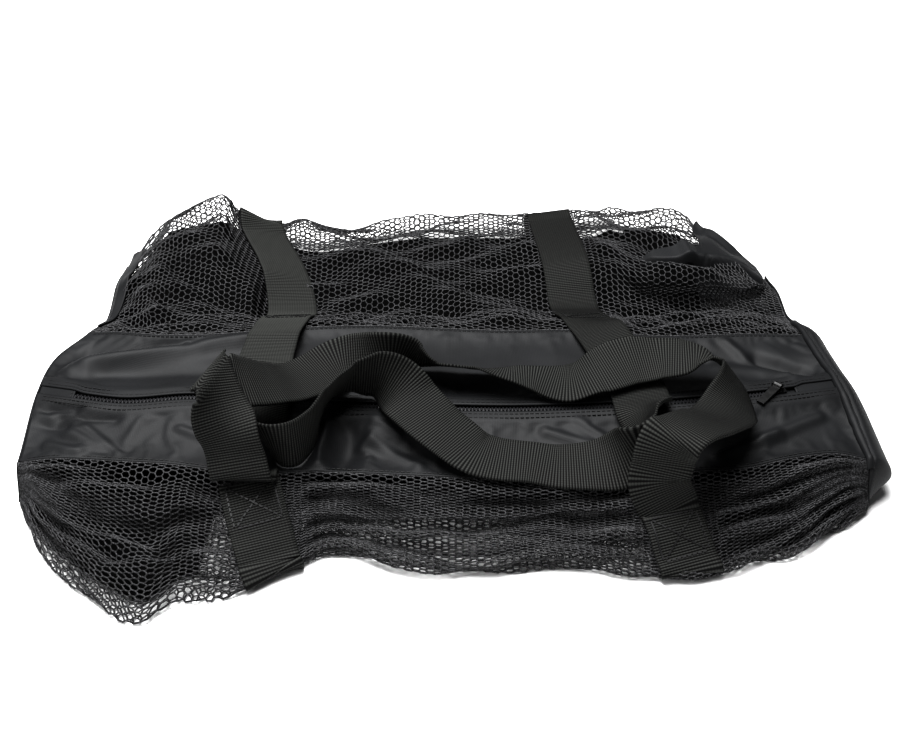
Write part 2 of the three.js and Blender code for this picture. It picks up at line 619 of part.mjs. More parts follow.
// A strip that follows the line of the zip at a height above the top panel
function zipStrip({ from, to, width, thick, height, steps, rows }) {
  return wall(steps, rows, thick, (u, v) => {
    const station = mix(from, to, u);
    const y = zipLine(station) + (v - 0.5) * width;
    return new THREE.Vector3(leanX(station, y), y, upperZ(station, y) + height);
  });
}

// Joins two overlapping solids into one
const wasm = await Module();
wasm.setup();
function joined(first, second) {
  const solid = (geometry) => {
    const plain = geometry.clone();
    plain.deleteAttribute("normal");
    plain.deleteAttribute("uv");
    const merged = mergeVertices(plain, WELD);
    const vertProperties = new Float32Array(merged.getAttribute("position").array);
    const triVerts = new Uint32Array(merged.getIndex().array);
    return new wasm.Manifold(new wasm.Mesh({ numProp: 3, vertProperties, triVerts }));
  };
  const mesh = solid(first).add(solid(second)).getMesh();
  const geometry = new THREE.BufferGeometry();
  geometry.setAttribute("position", new THREE.BufferAttribute(mesh.vertProperties, 3));
  geometry.setIndex(new THREE.BufferAttribute(mesh.triVerts, 1));
  return geometry;
}

// Slider with a bridge that carries the pull: local X is the way the pull lies, local Y is its hinge
const pullHeading = THREE.MathUtils.degToRad(PULL.heading);
const sliderY = zipLine(SLIDER.station);
const sliderPlace = new THREE.Vector3(
  leanX(SLIDER.station, sliderY),
  sliderY,
  upperZ(SLIDER.station, sliderY) - TAPE_DROP + TAPE_THICK / 2 + SLIDER.rise,
);
const hingeHeight = SLIDER.height + BRIDGE.above - BRIDGE.bar / 2;
function sliderSolid() {
  const ahead = SLIDER.station + SLIDER.length / 2;
  const behind = SLIDER.station - SLIDER.length / 2;
  const zipHeading = Math.atan2(zipLine(ahead) - zipLine(behind), SLIDER.length);
  const base = new THREE.BoxGeometry(SLIDER.length, SLIDER.width, SLIDER.height);
  base.translate(0, 0, SLIDER.height / 2);
  base.rotateZ(zipHeading);
  const half = BRIDGE.width / 2;
  const sink = 1;
  const outline = new THREE.Shape();
  outline.moveTo(-half, -sink);
  outline.lineTo(half, -sink);
  outline.lineTo(half, BRIDGE.above);
  outline.lineTo(-half, BRIDGE.above);
  const window = new THREE.Path();
  window.moveTo(-half + BRIDGE.post, 0);
  window.lineTo(-half + BRIDGE.post, BRIDGE.above - BRIDGE.bar);
  window.lineTo(half - BRIDGE.post, BRIDGE.above - BRIDGE.bar);
  window.lineTo(half - BRIDGE.post, 0);
  outline.holes.push(window);
  const bridge = new THREE.ExtrudeGeometry(outline, { depth: BRIDGE.bar, bevelEnabled: false });
  bridge.translate(0, 0, -BRIDGE.bar / 2);
  bridge.rotateX(Math.PI / 2);
  bridge.rotateZ(pullHeading + Math.PI / 2);
  bridge.translate(0, 0, SLIDER.height);
  const slider = joined(base, bridge);
  slider.translate(sliderPlace.x, sliderPlace.y, sliderPlace.z);
  return slider;
}
function pullSolid() {
  const opening = Math.asin(PULL.thick / 2 / PULL.eyeOuter);
  const outline = new THREE.Shape();
  outline.absarc(0, 0, PULL.eyeOuter, opening, 2 * Math.PI - opening, false);
  outline.lineTo(PULL.length, -PULL.thick / 2);
  outline.lineTo(PULL.length, PULL.thick / 2);
  const eye = new THREE.Path();
  eye.absarc(0, 0, PULL.eyeInner, 0, 2 * Math.PI, true);
  outline.holes.push(eye);
  const pull = new THREE.ExtrudeGeometry(outline, {
    depth: PULL.width,
    bevelEnabled: false,
    curveSegments: EYE_SEGMENTS,
  });
  pull.translate(0, 0, -PULL.width / 2);
  pull.rotateX(Math.PI / 2);
  pull.rotateY(THREE.MathUtils.degToRad(PULL.droop));
  pull.rotateZ(pullHeading);
  pull.translate(sliderPlace.x, sliderPlace.y, sliderPlace.z + hingeHeight);
  return pull;
}

const nylon = new THREE.MeshStandardMaterial({ color: 0x1d1e20, roughness: 0.55, metalness: 0 });
const net = new THREE.MeshStandardMaterial({ color: 0x161617, roughness: 0.75, metalness: 0 });
const webbing = new THREE.MeshStandardMaterial({ color: 0x1b1b19, roughness: 0.85, metalness: 0 });
const plastic = new THREE.MeshStandardMaterial({ color: 0x141416, roughness: 0.4, metalness: 0 });
const paintedZinc = new THREE.MeshStandardMaterial({ color: 0x19191b, roughness: 0.35, metalness: 0.3 });

const CHAIN = {
  from: CHAIN_LEFT,
  to: CHAIN_RIGHT,
  width: CHAIN_WIDTH,
  thick: CHAIN_HEIGHT,
  height: -TAPE_DROP + TAPE_THICK / 2 + SEWN_GAP + CHAIN_HEIGHT / 2,
  steps: ZIP_STEPS,
  rows: 1,
};
const TAPE = {
  from: CHAIN_LEFT - TAPE_OVER,
  to: TAB_RIGHT + TAPE_OVER,
  width: TAPE_WIDTH,
  thick: TAPE_THICK,
  height: -TAPE_DROP,
  steps: ZIP_STEPS,
  rows: 2,
};
const TAB = { width: TAB_WIDTH, thick: NYLON_THICK, height: TAB_RISE, steps: 3, rows: 2 };
const TAB_AT_LEFT = { ...TAB, from: CHAIN_LEFT - TAB_LENGTH, to: CHAIN_LEFT - 1 };
const TAB_AT_RIGHT = { ...TAB, from: TAB_RIGHT, to: TAB_RIGHT + TAB_LENGTH };
const pieces = [
  ["front_net_panel", gridWall(frontNet, NET_THICK), net],
  ["back_net_panel", gridWall(backNet, NET_THICK), net],
  ["top_panel_front", gridWall(topFront, NYLON_THICK), nylon],
  ["top_panel_back", gridWall(topBack, NYLON_THICK), nylon],
  ["bottom_panel", gridWall(bottomGrid(), NYLON_THICK), nylon],
  ["end_panel_left", gridWall(endPanel(-1, TUCK_LEFT), NYLON_THICK), nylon],
  ["end_panel_right", gridWall(endPanel(1, TUCK_RIGHT), NYLON_THICK), nylon],
  ["front_strap", gridWall(strapGrid(frontNet, -1, FRONT_LEGS, FRONT_HANDLE), WEBBING_THICK), webbing],
  ["back_strap", gridWall(strapGrid(backNet, 1, BACK_LEGS, BACK_HANDLE), WEBBING_THICK), webbing],
  ["zip_tape", zipStrip(TAPE), nylon],
  ["zip_chain", zipStrip(CHAIN), plastic],
  ["zip_tab_left", zipStrip(TAB_AT_LEFT), nylon],
  ["zip_tab_right", zipStrip(TAB_AT_RIGHT), nylon],
  ["zip_slider", sliderSolid(), paintedZinc],
  ["zip_pull", pullSolid(), paintedZinc],
];

// The origin of the bag is the middle of its outline on the table
const outer = new THREE.Box3();
for (const [, geometry] of pieces) {
  geometry.computeBoundingBox();
  outer.union(geometry.boundingBox);
}
const middle = outer.getCenter(new THREE.Vector3());
const bag = new THREE.Group();
for (const [name, geometry, material] of pieces) {
  geometry.translate(-middle.x, -middle.y, -outer.min.z);
  const mesh = new THREE.Mesh(geometry, material);
  mesh.name = name;
  bag.add(mesh);
}

export default bag;
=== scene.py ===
import math

import bmesh
import bpy
import numpy as np
from mathutils import Matrix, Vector
from mathutils.bvhtree import BVHTree


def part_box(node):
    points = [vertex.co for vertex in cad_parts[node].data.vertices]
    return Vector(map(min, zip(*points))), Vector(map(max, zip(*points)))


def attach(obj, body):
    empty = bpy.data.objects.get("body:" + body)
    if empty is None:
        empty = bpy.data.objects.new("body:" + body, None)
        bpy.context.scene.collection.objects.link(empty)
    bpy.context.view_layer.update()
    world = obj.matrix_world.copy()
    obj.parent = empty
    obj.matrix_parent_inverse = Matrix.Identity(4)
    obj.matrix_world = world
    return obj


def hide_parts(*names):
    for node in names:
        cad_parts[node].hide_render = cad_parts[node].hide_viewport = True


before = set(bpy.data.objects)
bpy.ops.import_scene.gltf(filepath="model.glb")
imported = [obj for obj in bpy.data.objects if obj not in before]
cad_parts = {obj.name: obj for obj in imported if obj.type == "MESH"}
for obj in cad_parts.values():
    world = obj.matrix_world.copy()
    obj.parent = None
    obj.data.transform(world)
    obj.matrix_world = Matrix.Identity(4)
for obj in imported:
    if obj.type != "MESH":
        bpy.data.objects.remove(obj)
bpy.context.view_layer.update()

# The bag lies collapsed on a table, its zip along X and its front towards -Y. Its forms are charted in
# millimetres about a spot on the table near its middle, and the slider of the zip says where that spot is.
MM = 0.001
LEFT_END = -278
RIGHT_END = 272
END_REACH = 70
SLIDER_STATION = 223


def table(columns, *rows):
    """A chart with named columns, the first of which is the one that it is read along."""
    chart = dict(zip(columns.split(), np.array(rows, float).T))
    chart["key"] = chart[columns.split()[0]]
    return chart


def column(chart, name, at):
    """One column of a chart, read between its rows along a smooth curve."""
    keys, values = chart["key"], chart[name]
    slopes = np.empty(len(keys))
    slopes[1:-1] = (values[2:] - values[:-2]) / (keys[2:] - keys[:-2])
    slopes[0] = (values[1] - values[0]) / (keys[1] - keys[0])
    slopes[-1] = (values[-1] - values[-2]) / (keys[-1] - keys[-2])
    near = np.clip(np.searchsorted(keys, at, side="right") - 1, 0, len(keys) - 2)
    span = keys[near + 1] - keys[near]
    t = np.clip((at - keys[near]) / span, 0, 1)
    blend = t * t * (3 - 2 * t)
    bend = slopes[near] * t * (1 - t) ** 2 - slopes[near + 1] * t * t * (1 - t)
    return values[near] * (1 - blend) + values[near + 1] * blend + span * bend


def smooth(t):
    """A step from 0 to 1 with soft ends."""
    t = np.clip(t, 0, 1)
    return t * t * (3 - 2 * t)


TOP = table(
    "x zip zipZ seam seamZ",
    (-278, -88, 37, -13, 33),
    (-250, -99, 41, -18, 37),
    (-218, -106, 42, -24, 39),
    (-175, -104, 44, -24, 39),
    (-120, -108, 44, -18, 40),
    (-60, -113, 44, -13, 39),
    (33, -117, 44, -19, 39),
    (100, -114, 44, -20, 40),
    (154, -109, 44, -26, 39),
    (220, -98, 43, -22, 38),
    (272, -84, 39, -19, 35),
)
ENDS = table(
    "y left right",
    (-170, 0, -2),
    (-90, -5, -5),
    (-45, -4, -9),
    (0, 14, -12),
    (80, 12, -16),
    (150, 14, -22),
)


def lean(station, y):
    """Where a station along the bag lies at depth y, as its two ends lean."""
    left = 1 - smooth((station - LEFT_END) / END_REACH)
    right = 1 - smooth((RIGHT_END - station) / END_REACH)
    return station + left * column(ENDS, "left", y) + right * column(ENDS, "right", y)


def zip_line(station):
    return column(TOP, "zip", station)


slider_low, slider_high = np.array(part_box("zip_slider")) / MM
slider_y = zip_line(SLIDER_STATION)
slider_x = lean(SLIDER_STATION, slider_y)
shift = ((slider_low + slider_high) / 2)[:2] - (slider_x, slider_y)

# Camera of the photograph: it stands in front of the bag, level from side to side, and looks down on it.
# Its place is given from the same spot on the table as the charts.
CAMERA_BACK = 714
CAMERA_HEIGHT = 522
CAMERA_PITCH = 37
LENS = 45.96
SENSOR_WIDTH = 36
camera = bpy.data.objects.new("camera", bpy.data.cameras.new("camera"))
camera.data.lens = LENS
camera.data.sensor_width = SENSOR_WIDTH
camera.location = (shift[0] * MM, (shift[1] - CAMERA_BACK) * MM, CAMERA_HEIGHT * MM)
camera.rotation_euler = (math.radians(90 - CAMERA_PITCH), 0, 0)
bpy.context.collection.objects.link(camera)
bpy.context.scene.camera = camera


# Table top and soft studio light: a sweep of white paper under a wide overhead lamp, with a weaker lamp
# at the front left, in a bright white room.
def linear(colour):
    """A colour as the shaders take it, from sRGB hex."""
    parts = [int(colour[i : i + 2], 16) / 255 for i in (1, 3, 5)]
    return (*(c / 12.92 if c <= 0.04045 else ((c + 0.055) / 1.055) ** 2.4 for c in parts), 1)


def add(material, kind, settings=None, *sources, stops=(), **inputs):
    """Adds a shader node with its settings and a ramp's stops; an input is a value or a node's output."""
    new = material.node_tree.nodes.new("ShaderNode" + kind)
    for name, value in (settings or {}).items():
        setattr(new, name, value)
    for i, (at, colour) in enumerate(stops):
        new.color_ramp.elements[i].position = at
        new.color_ramp.elements[i].color = linear(colour)
    named = [(new.inputs[name.replace("_", " ")], value) for name, value in inputs.items()]
    for socket, value in [*zip(new.inputs, sources), *named]:
        if isinstance(value, bpy.types.NodeSocket):
            material.node_tree.links.new(value, socket)
        else:
            socket.default_value = value
    return new


def blank(name):
    """A new material, still without a node."""
    material = bpy.data.materials.new(name)
    material.use_nodes = True
    material.node_tree.nodes.clear()
    return material


def finish(material, **inputs):
    """Closes a material with its principled shader; an input is a value or a node's output."""
    shader = add(material, "BsdfPrincipled", **inputs)
    add(material, "OutputMaterial", Surface=shader.outputs[0])


FLOOR_SIZE = 6.0
PAPER_SPOT = 333
paper = blank("white_paper_sweep")
paper_spots = add(paper, "TexNoise", Scale=1 / (PAPER_SPOT * MM), Detail=2.0)
paper_tint = add(paper, "ValToRGB", Fac=paper_spots.outputs["Fac"], stops=((0, "#f3f3f3"), (1, "#f8f8f8")))
finish(paper, Base_Color=paper_tint.outputs["Color"], Roughness=0.9)
bm = bmesh.new()
bmesh.ops.create_grid(bm, x_segments=1, y_segments=1, size=FLOOR_SIZE / 2)
floor = bpy.data.objects.new("floor", bpy.data.meshes.new("floor"))
bm.to_mesh(floor.data)
bm.free()
floor.data.materials.append(paper)
bpy.context.collection.objects.link(floor)

ROOM_STRENGTH = 0.12
VIEW_GAMMA = 0.75
world = bpy.data.worlds.new("white_room")
world.use_nodes = True
world.node_tree.nodes["Background"].inputs["Color"].default_value = (1, 1, 1, 1)
world.node_tree.nodes["Background"].inputs["Strength"].default_value = ROOM_STRENGTH
bpy.context.scene.world = world
bpy.context.scene.view_settings.view_transform = "Standard"
bpy.context.scene.view_settings.gamma = VIEW_GAMMA
for name, place, size, power in (
    ("overhead_lamp", (-0.2, 0.18, 1.5), 1.2, 76),
    ("window_lamp", (-1.2, -0.9, 0.8), 1.0, 12),
):
    lamp = bpy.data.objects.new(name, bpy.data.lights.new(name, "AREA"))
    lamp.data.size = size
    lamp.data.energy = power
    lamp.location = place
    aim = -lamp.location
    lamp.rotation_euler = aim.to_track_quat("-Z", "Y").to_euler()
    bpy.context.collection.objects.link(lamp)

# Bottom panel: nylon taffeta, flat on the table but for two channels where the straps run beneath it.
# It shows only through the net. The charts of the upper side stand here, as every panel is hung from them.
NYLON_THICK = 1.0
WEBBING_WIDTH = 38
WEBBING_THICK = 1.5
FOLD_LIP = 8
NET_FLOOR = 2.0
BOTTOM_FRONT = -165
BOTTOM_BACK = 181
BOTTOM_MARGIN = 15
CORNER = 120
CORNER_RAMP = 40
CORNER_MARGIN = 12
CORNER_REACH = 22
CHANNEL_RISE = 2.1
CHANNEL_RAMP = 9
CHANNEL_MARGIN = 3
FRONT = table(
    "x fold seam seamZ",
    (-278, -170, -154, 29),
    (-256, -204, -156, 34),
    (-230, -234, -158, 35),
    (-207, -253, -160, 35),
    (-181, -265, -162, 35),
    (-164, -247, -165, 35),
    (-126, -241, -173, 36),
    (-96, -222, -171, 36),
    (-75, -210, -171, 36),
    (-30, -224, -174, 36),
    (12, -227, -177, 36),
    (67, -222, -180, 36),
    (121, -229, -179, 36),
    (150, -232, -171, 36),
    (191, -217, -166, 36),
    (218, -208, -158, 36),
    (250, -187, -152, 35),
    (272, -172, -154, 32),
)
BACK = table(
    "x valley valleyZ crest crestZ ridge ridgeZ",
    (-278, 20, 24, 60, 27, 100, 22),
    (-243, 14, 28, 90, 43, 143, 43),
    (-224, 14, 28, 95, 47, 148, 50),
    (-208, 16, 27, 97, 49, 150, 54),
    (-198, 18, 27, 97, 49, 152, 57),
    (-187, 18, 27, 94, 48, 153, 59),
    (-178, 18, 27, 84, 44, 168, 33),
    (-166, 18, 28, 66, 37, 174, 23),
    (-155, 18, 29, 46, 33, 177, 19),
    (-142, 40, 16, 112, 20, 178, 18),
    (-110, 46, 13, 110, 19, 172, 17),
    (-60, 42, 13, 105, 17, 188, 14),
    (0, 42, 13, 105, 16, 200, 14),
    (45, 46, 13, 100, 19, 203, 14),
    (85, 52, 13, 95, 27, 197, 20),
    (130, 52, 13, 92, 30, 212, 16),
    (160, 56, 11, 86, 37, 200, 20),
    (200, 58, 10, 84, 39, 180, 28),
    (240, 50, 14, 80, 35, 132, 28),
    (272, 22, 24, 48, 27, 84, 22),
)
FOLDS = table(
    "fromX fromY toX toY width height",
    (-126, 158, 46, 21, 17, 11),
    (-246, -190, -165, -226, 9, -7),
    (-240, -182, -165, -186, 8, 4),
    (-200, -232, -140, -226, 8, 5),
    (-60, -196, 100, -203, 7, -5),
    (20, -216, 125, -212, 8, 4),
    (165, -188, 215, -180, 10, -8),
    (-242, -69, -165, -69, 9, -4),
    (-60, -150, -25, -148, 12, -5),
    (185, -55, 255, -62, 12, -5),
    (170, 28, 245, 18, 8, 4),
    (175, 118, 215, 150, 14, -8),
    (-218, 66, -158, 26, 9, -7),
    (-264, 57, -224, 17, 8, 4),
    (-224, 17, -150, 5, 7, 4),
)
STRAP_RUNS = {"left": (-108, -166), "right": (147, 86)}


def creased(chart, x, y):
    """The height that a chart of crease lines gives at each point."""
    height = np.zeros(np.broadcast(x, y).shape)
    for from_x, from_y, to_x, to_y, width, rise in zip(
        *(chart[name] for name in ("fromX", "fromY", "toX", "toY", "width", "height"))
    ):
        along_x, along_y = to_x - from_x, to_y - from_y
        share = ((x - from_x) * along_x + (y - from_y) * along_y) / (along_x**2 + along_y**2)
        share = np.clip(share, 0, 1)
        away = np.hypot(x - from_x - share * along_x, y - from_y - share * along_y)
        height = height + rise * np.exp(-((away / width) ** 2))
    return height


def front_fold(station):
    return column(FRONT, "fold", station)


def front_seam(station):
    return column(FRONT, "seam", station)


def back_seam(station):
    return column(TOP, "seam", station)


def back_ridge(station):
    return column(BACK, "ridge", station)


def upper(station, y):
    """Height of the bag's upper side: a soft profile across the bag, with its folds."""
    places = [front_fold(station), front_seam(station)]
    levels = [FOLD_LIP, column(FRONT, "seamZ", station)]
    for chart, names in ((TOP, ("zip", "seam")), (BACK, ("valley", "crest", "ridge"))):
        for name in names:
            places.append(column(chart, name, station))
            levels.append(column(chart, name + "Z", station))
    z = levels[0]
    for i in range(len(places) - 1):
        z = z + (levels[i + 1] - levels[i]) * smooth((y - places[i]) / (places[i + 1] - places[i]))
    return np.maximum(z + creased(FOLDS, station, y), FOLD_LIP)


def bottom_front(station):
    return np.maximum(BOTTOM_FRONT, front_fold(station) + BOTTOM_MARGIN)


def bottom_back(station):
    corner = smooth((station - CORNER) / CORNER_RAMP)
    margin = BOTTOM_MARGIN + (CORNER_MARGIN - BOTTOM_MARGIN) * corner
    return np.minimum(BOTTOM_BACK + CORNER_REACH * corner, back_ridge(station) - margin)


def strap_line(run, y):
    """Where the middle of a strap that runs askew under the bag lies at depth y."""
    front, back = run
    low, high = front_fold(front), back_ridge(back)
    return front + (back - front) * (y - low) / (high - low)


def under_bag(station, share):
    """A point of the bottom panel, raised over the two straps."""
    y = bottom_front(station) + (bottom_back(station) - bottom_front(station)) * share
    rise = np.zeros(y.shape)
    for run in STRAP_RUNS.values():
        beside = np.abs(station - strap_line(run, y)) - WEBBING_WIDTH / 2 - CHANNEL_MARGIN
        rise += CHANNEL_RISE * (1 - smooth(beside / CHANNEL_RAMP))
    return np.stack((lean(station, y), y, NYLON_THICK / 2 + rise), -1)


def lay(bm, places):
    """Puts the points of a mesh at places on the charts."""
    for vert, (x, y, z) in zip(bm.verts, places):
        vert.co = ((x + shift[0]) * MM, (y + shift[1]) * MM, z * MM)


def cloth(columns, rows, place, flat):
    """A grid of cloth whose points are placed by a function, with its flat size in metres as its UV map."""
    bm = bmesh.new()
    bmesh.ops.create_grid(bm, x_segments=columns, y_segments=rows, size=0.5)
    shares = np.array([vert.co[:2] for vert in bm.verts]) + 0.5
    places = place(shares[:, 0], shares[:, 1])
    uv = bm.loops.layers.uv.new("flat")
    for face in bm.faces:
        for loop in face.loops:
            u, v = shares[loop.vert.index]
            loop[uv].uv = (u * flat[0] * MM, v * flat[1] * MM)
    lay(bm, places)
    return bm


def put(name, bm, material, body="bag", nodes=(), wall=None, hard=False):
    """Makes a piece of the bag from its mesh, hangs it from the empty of the body it rides on, and hides the
    model's parts that it takes the place of.
    """
    piece = bpy.data.objects.new(name, bpy.data.meshes.new(name))
    bm.normal_update()
    bm.to_mesh(piece.data)
    bm.free()
    piece.data.materials.append(material)
    if not hard:
        piece.data.polygons.foreach_set("use_smooth", [True] * len(piece.data.polygons))
    bpy.context.collection.objects.link(piece)
    if wall:
        thick = piece.modifiers.new("thickness", "SOLIDIFY")
        thick.thickness = wall * MM
        thick.offset = 0
    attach(piece, body)
    if nodes:
        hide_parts(*nodes)
    return piece


# Nylon taffeta is a close plain weave of fine bright filament, dyed black, so it has a soft satin gloss
# and shows faint threads. The real threads are 0.3 mm apart and are drawn at 1.1 mm, so that they show.
THREAD_PITCH = 1.1
CLOUD_SIZE = 35.7
# A wave texture of scale 1 repeats after this distance.
WAVE_LENGTH = 2 * math.pi / 20
nylon = blank("nylon_taffeta")
flat_map = add(nylon, "TexCoord")
warp, weft = (
    add(
        nylon,
        "TexWave",
        {"bands_direction": way},
        Vector=flat_map.outputs["UV"],
        Scale=WAVE_LENGTH / (THREAD_PITCH * MM),
    )
    for way in "XY"
)
weave = add(nylon, "Math", {"operation": "MULTIPLY"}, warp.outputs["Fac"], weft.outputs["Fac"])
cloudy = add(nylon, "TexNoise", Vector=flat_map.outputs["Object"], Scale=1 / (CLOUD_SIZE * MM), Detail=4.0)
nylon_tint = add(nylon, "ValToRGB", Fac=cloudy.outputs["Fac"], stops=((0.3, "#101113"), (0.7, "#1b1c1e")))
nylon_bump = add(nylon, "Bump", Height=weave.outputs[0], Strength=0.25, Distance=0.2 * MM)
finish(
    nylon,
    Base_Color=nylon_tint.outputs["Color"],
    Normal=nylon_bump.outputs["Normal"],
    Roughness=0.6,
    IOR=1.53,
    Specular_IOR_Level=0.3,
)

# The inside of the nylon is coated and duller than its face. Its much deeper black is painted shade for the
# dim inside of the bag.
BLOTCH_SIZE = 16.7
shaded_coated_nylon = blank("coated_nylon_painted_shade")
coat_place = add(shaded_coated_nylon, "TexCoord")
coat_blotch = add(
    shaded_coated_nylon, "TexNoise", Vector=coat_place.outputs["Object"], Scale=1 / (BLOTCH_SIZE * MM), Detail=3.0
)
# This near-black tint paints the shade inside the bag, and the blotches vary it at random.
coat_shade_tint = add(shaded_coated_nylon, "ValToRGB", Fac=coat_blotch.outputs["Fac"], stops=((0, "#010101"), (1, "#040404")))
finish(shaded_coated_nylon, Base_Color=coat_shade_tint.outputs["Color"], Roughness=0.75, IOR=1.5, Specular_IOR_Level=0.06)

LENGTH_FLAT = 575
BOTTOM_FLAT = (LENGTH_FLAT, 346)
BOTTOM_GRID = (160, 40)


def stations(u):
    return LEFT_END + (RIGHT_END - LEFT_END) * u


# The bottom takes the coated nylon, whose near-black colour is painted shade.
bottom = put(
    "bottom_cloth",
    cloth(*BOTTOM_GRID, lambda u, v: under_bag(stations(u), v), BOTTOM_FLAT),
    shaded_coated_nylon,
    nodes=["bottom_panel"],
    wall=NYLON_THICK,
)

# End panels: nylon discs sewn round the ends of the bag. Empty, they fall in, and lie tucked between the
# net and the bottom with an edge that turns out again, which shows as a band along the right end.
TUCK_GAP = 1.8
TUCK_CEILING = 16
EAR_START = 10
EAR_REACH = 40
EAR_GAP = 9
BULGE_FRONT = 0.08
BULGE_BACK = 0.16
BULGE_END = 0.78
TUCK_LEFT = table(
    "step inset level margin ear",
    (0, -1, 0.98, 1, 0),
    (1, -3, 0.6, 4, 0),
    (2, -2, 0.4, 9, 0.5),
    (3, 14, 0.38, 9, 1),
    (4, 60, 0.4, 20, 1),
    (5, 118, 0.42, 18, 0.8),
    (6, 122, 0.33, 18, 0.4),
    (7, 118, 0.24, 18, 0),
    (8, 60, 0.22, 15, 0),
    (9, 14, 0.2, 15, 0),
    (10, 2, 0.16, 13, 0),
)
TUCK_RIGHT = table(
    "step inset level margin ear",
    (0, -1, 0.98, 1, 0),
    (1, -6, 1.05, 2, 0),
    (2, -13, 0.88, 2, 0),
    (3, -19, 0.58, 2, 0),
    (4, -20, 0.32, 3, 0),
    (5, -14, 0.25, 8, 0),
    (6, 10, 0.34, 6, 0),
    (7, 60, 0.4, 6, 0),
    (8, 112, 0.42, 15, 0),
    (9, 116, 0.33, 18, 0),
    (10, 112, 0.24, 18, 0),
    (11, 60, 0.22, 15, 0),
    (12, 10, 0.2, 15, 0),
    (13, 2, 0.16, 13, 0),
)


def tucked(side, tuck, along, share):
    """A point of an end panel: along runs from the seam through the tuck, share runs from front to back."""
    step = along * tuck["key"][-1]
    inset = column(tuck, "inset", step)
    margin = column(tuck, "margin", step)
    level = column(tuck, "level", step)
    station = np.where(side < 0, LEFT_END, RIGHT_END) - side * np.maximum(0, inset)
    low, high = front_fold(station) + margin, back_ridge(station) - margin
    y = low + (high - low) * share
    over = upper(station, y)
    roof = np.where(inset < 0, over, np.minimum(over, TUCK_CEILING) - TUCK_GAP)
    z = (NET_FLOOR + TUCK_GAP) * (1 - level) + roof * level
    ear = column(tuck, "ear", step) * smooth((y - EAR_START) / EAR_REACH)
    z = z + np.maximum(0, over - EAR_GAP - z) * ear
    fade = smooth(share / BULGE_FRONT) * smooth((BULGE_END - share) / BULGE_BACK)
    out = np.where(inset < 0, 1 + (-inset - 1) * fade, 0)
    return np.stack((lean(station, y) + side * out, y, z), -1)


END_DISC = 305
END_GRID = (70, 150)
for name, side, tuck in (("left", -1, TUCK_LEFT), ("right", 1, TUCK_RIGHT)):
    disc = put(
        "end_cloth_" + name,
        cloth(
            *END_GRID,
            lambda u, v, side=side, tuck=tuck: tucked(side, tuck, u, v if side < 0 else 1 - v),
            (END_DISC, END_DISC),
        ),
        nylon,
        nodes=["end_panel_" + name],
        wall=NYLON_THICK,
    )
    # The inner faces of the discs take the coated nylon, whose near-black colour is painted shade.
    disc.data.materials.append(shaded_coated_nylon)
    for face in disc.data.polygons:
        x, y = np.array(face.center[:2]) / MM - shift
        face.material_index = int(side * (x - lean(LEFT_END if side < 0 else RIGHT_END, y)) < 0)

# At the back of each end the nylon is turned out over the net: a narrow strip at the left, and at the right a
# wider piece that comes up from under the net's crest, with a tongue that runs on along the crest.
OVERHANG = 18
LIP_RISE = 5.0
LIP_UNDER = 26
LIP_DROP = 5.0
LIP_MARGIN = 3
LIP_TURN = 195
LIP_TURN_RAMP = 15
LIP_EDGE = 3
LIP_ROOT = 0.1
LIP_GRID = (90, 48)
LIP_FLAT = (110, 90)
LIP = table(
    "x front back",
    (154, 84, 86),
    (165, 78, 91),
    (180, 76, 95),
    (192, 76, 98),
    (203, 77, 98),
    (209, 77, 150),
    (220, 78, 160),
    (242, 76, 136),
    (256, 70, 100),
    (264, 62, 84),
)
LIP_PEAK = table("fromX fromY toX toY width height", (192, 76, 190, 96, 6, 5), (226, 128, 240, 100, 9, -3))
STRIP_RISE = 2.2
STRIP_ROOT = 0.15
STRIP_PAST = 12
STRIP_GRID = (10, 60)
STRIP_FLAT = (16, 120)
END_INSET = 1
STRIP = table("y inner", (-4, -275), (20, -270), (60, -265), (85, -260), (104, -264), (112, -272))


def lip_right(u, v):
    """A point of the right lip: u runs along the crest, v from front to back."""
    x = LIP["x"][0] + (LIP["x"][-1] - LIP["x"][0]) * u
    front = column(LIP, "front", x)
    low = front - LIP_UNDER * smooth((x - LIP_TURN) / LIP_TURN_RAMP)
    high = np.minimum(column(LIP, "back", x), back_ridge(x) - LIP_MARGIN)
    y = low + (high - low) * v
    out = smooth((y - front + LIP_EDGE) / (2 * LIP_EDGE))
    over = upper(x, y + OVERHANG * (1 - v)) + LIP_RISE * smooth(u / LIP_ROOT) + creased(LIP_PEAK, x, y)
    under = np.minimum(upper(x, y), upper(x, y + OVERHANG)) - LIP_DROP
    z = under + (over - under) * out
    return np.stack((lean(x, y), y, z), -1)


def lip_left(u, v):
    """A point of the left strip: u runs inwards from the end, v from front to back."""
    y = STRIP["y"][0] + (STRIP["y"][-1] - STRIP["y"][0]) * v
    y = np.minimum(y, back_ridge(LEFT_END) + STRIP_PAST)
    x = LEFT_END + END_INSET + (column(STRIP, "inner", y) - LEFT_END - END_INSET) * u
    return np.stack((lean(x, y), y, upper(x, y) + STRIP_RISE * smooth(u / STRIP_ROOT)), -1)


put("end_lip_left", cloth(*STRIP_GRID, lip_left, STRIP_FLAT), nylon, wall=NYLON_THICK)
put("end_lip_right", cloth(*LIP_GRID, lip_right, LIP_FLAT), nylon, wall=NYLON_THICK)

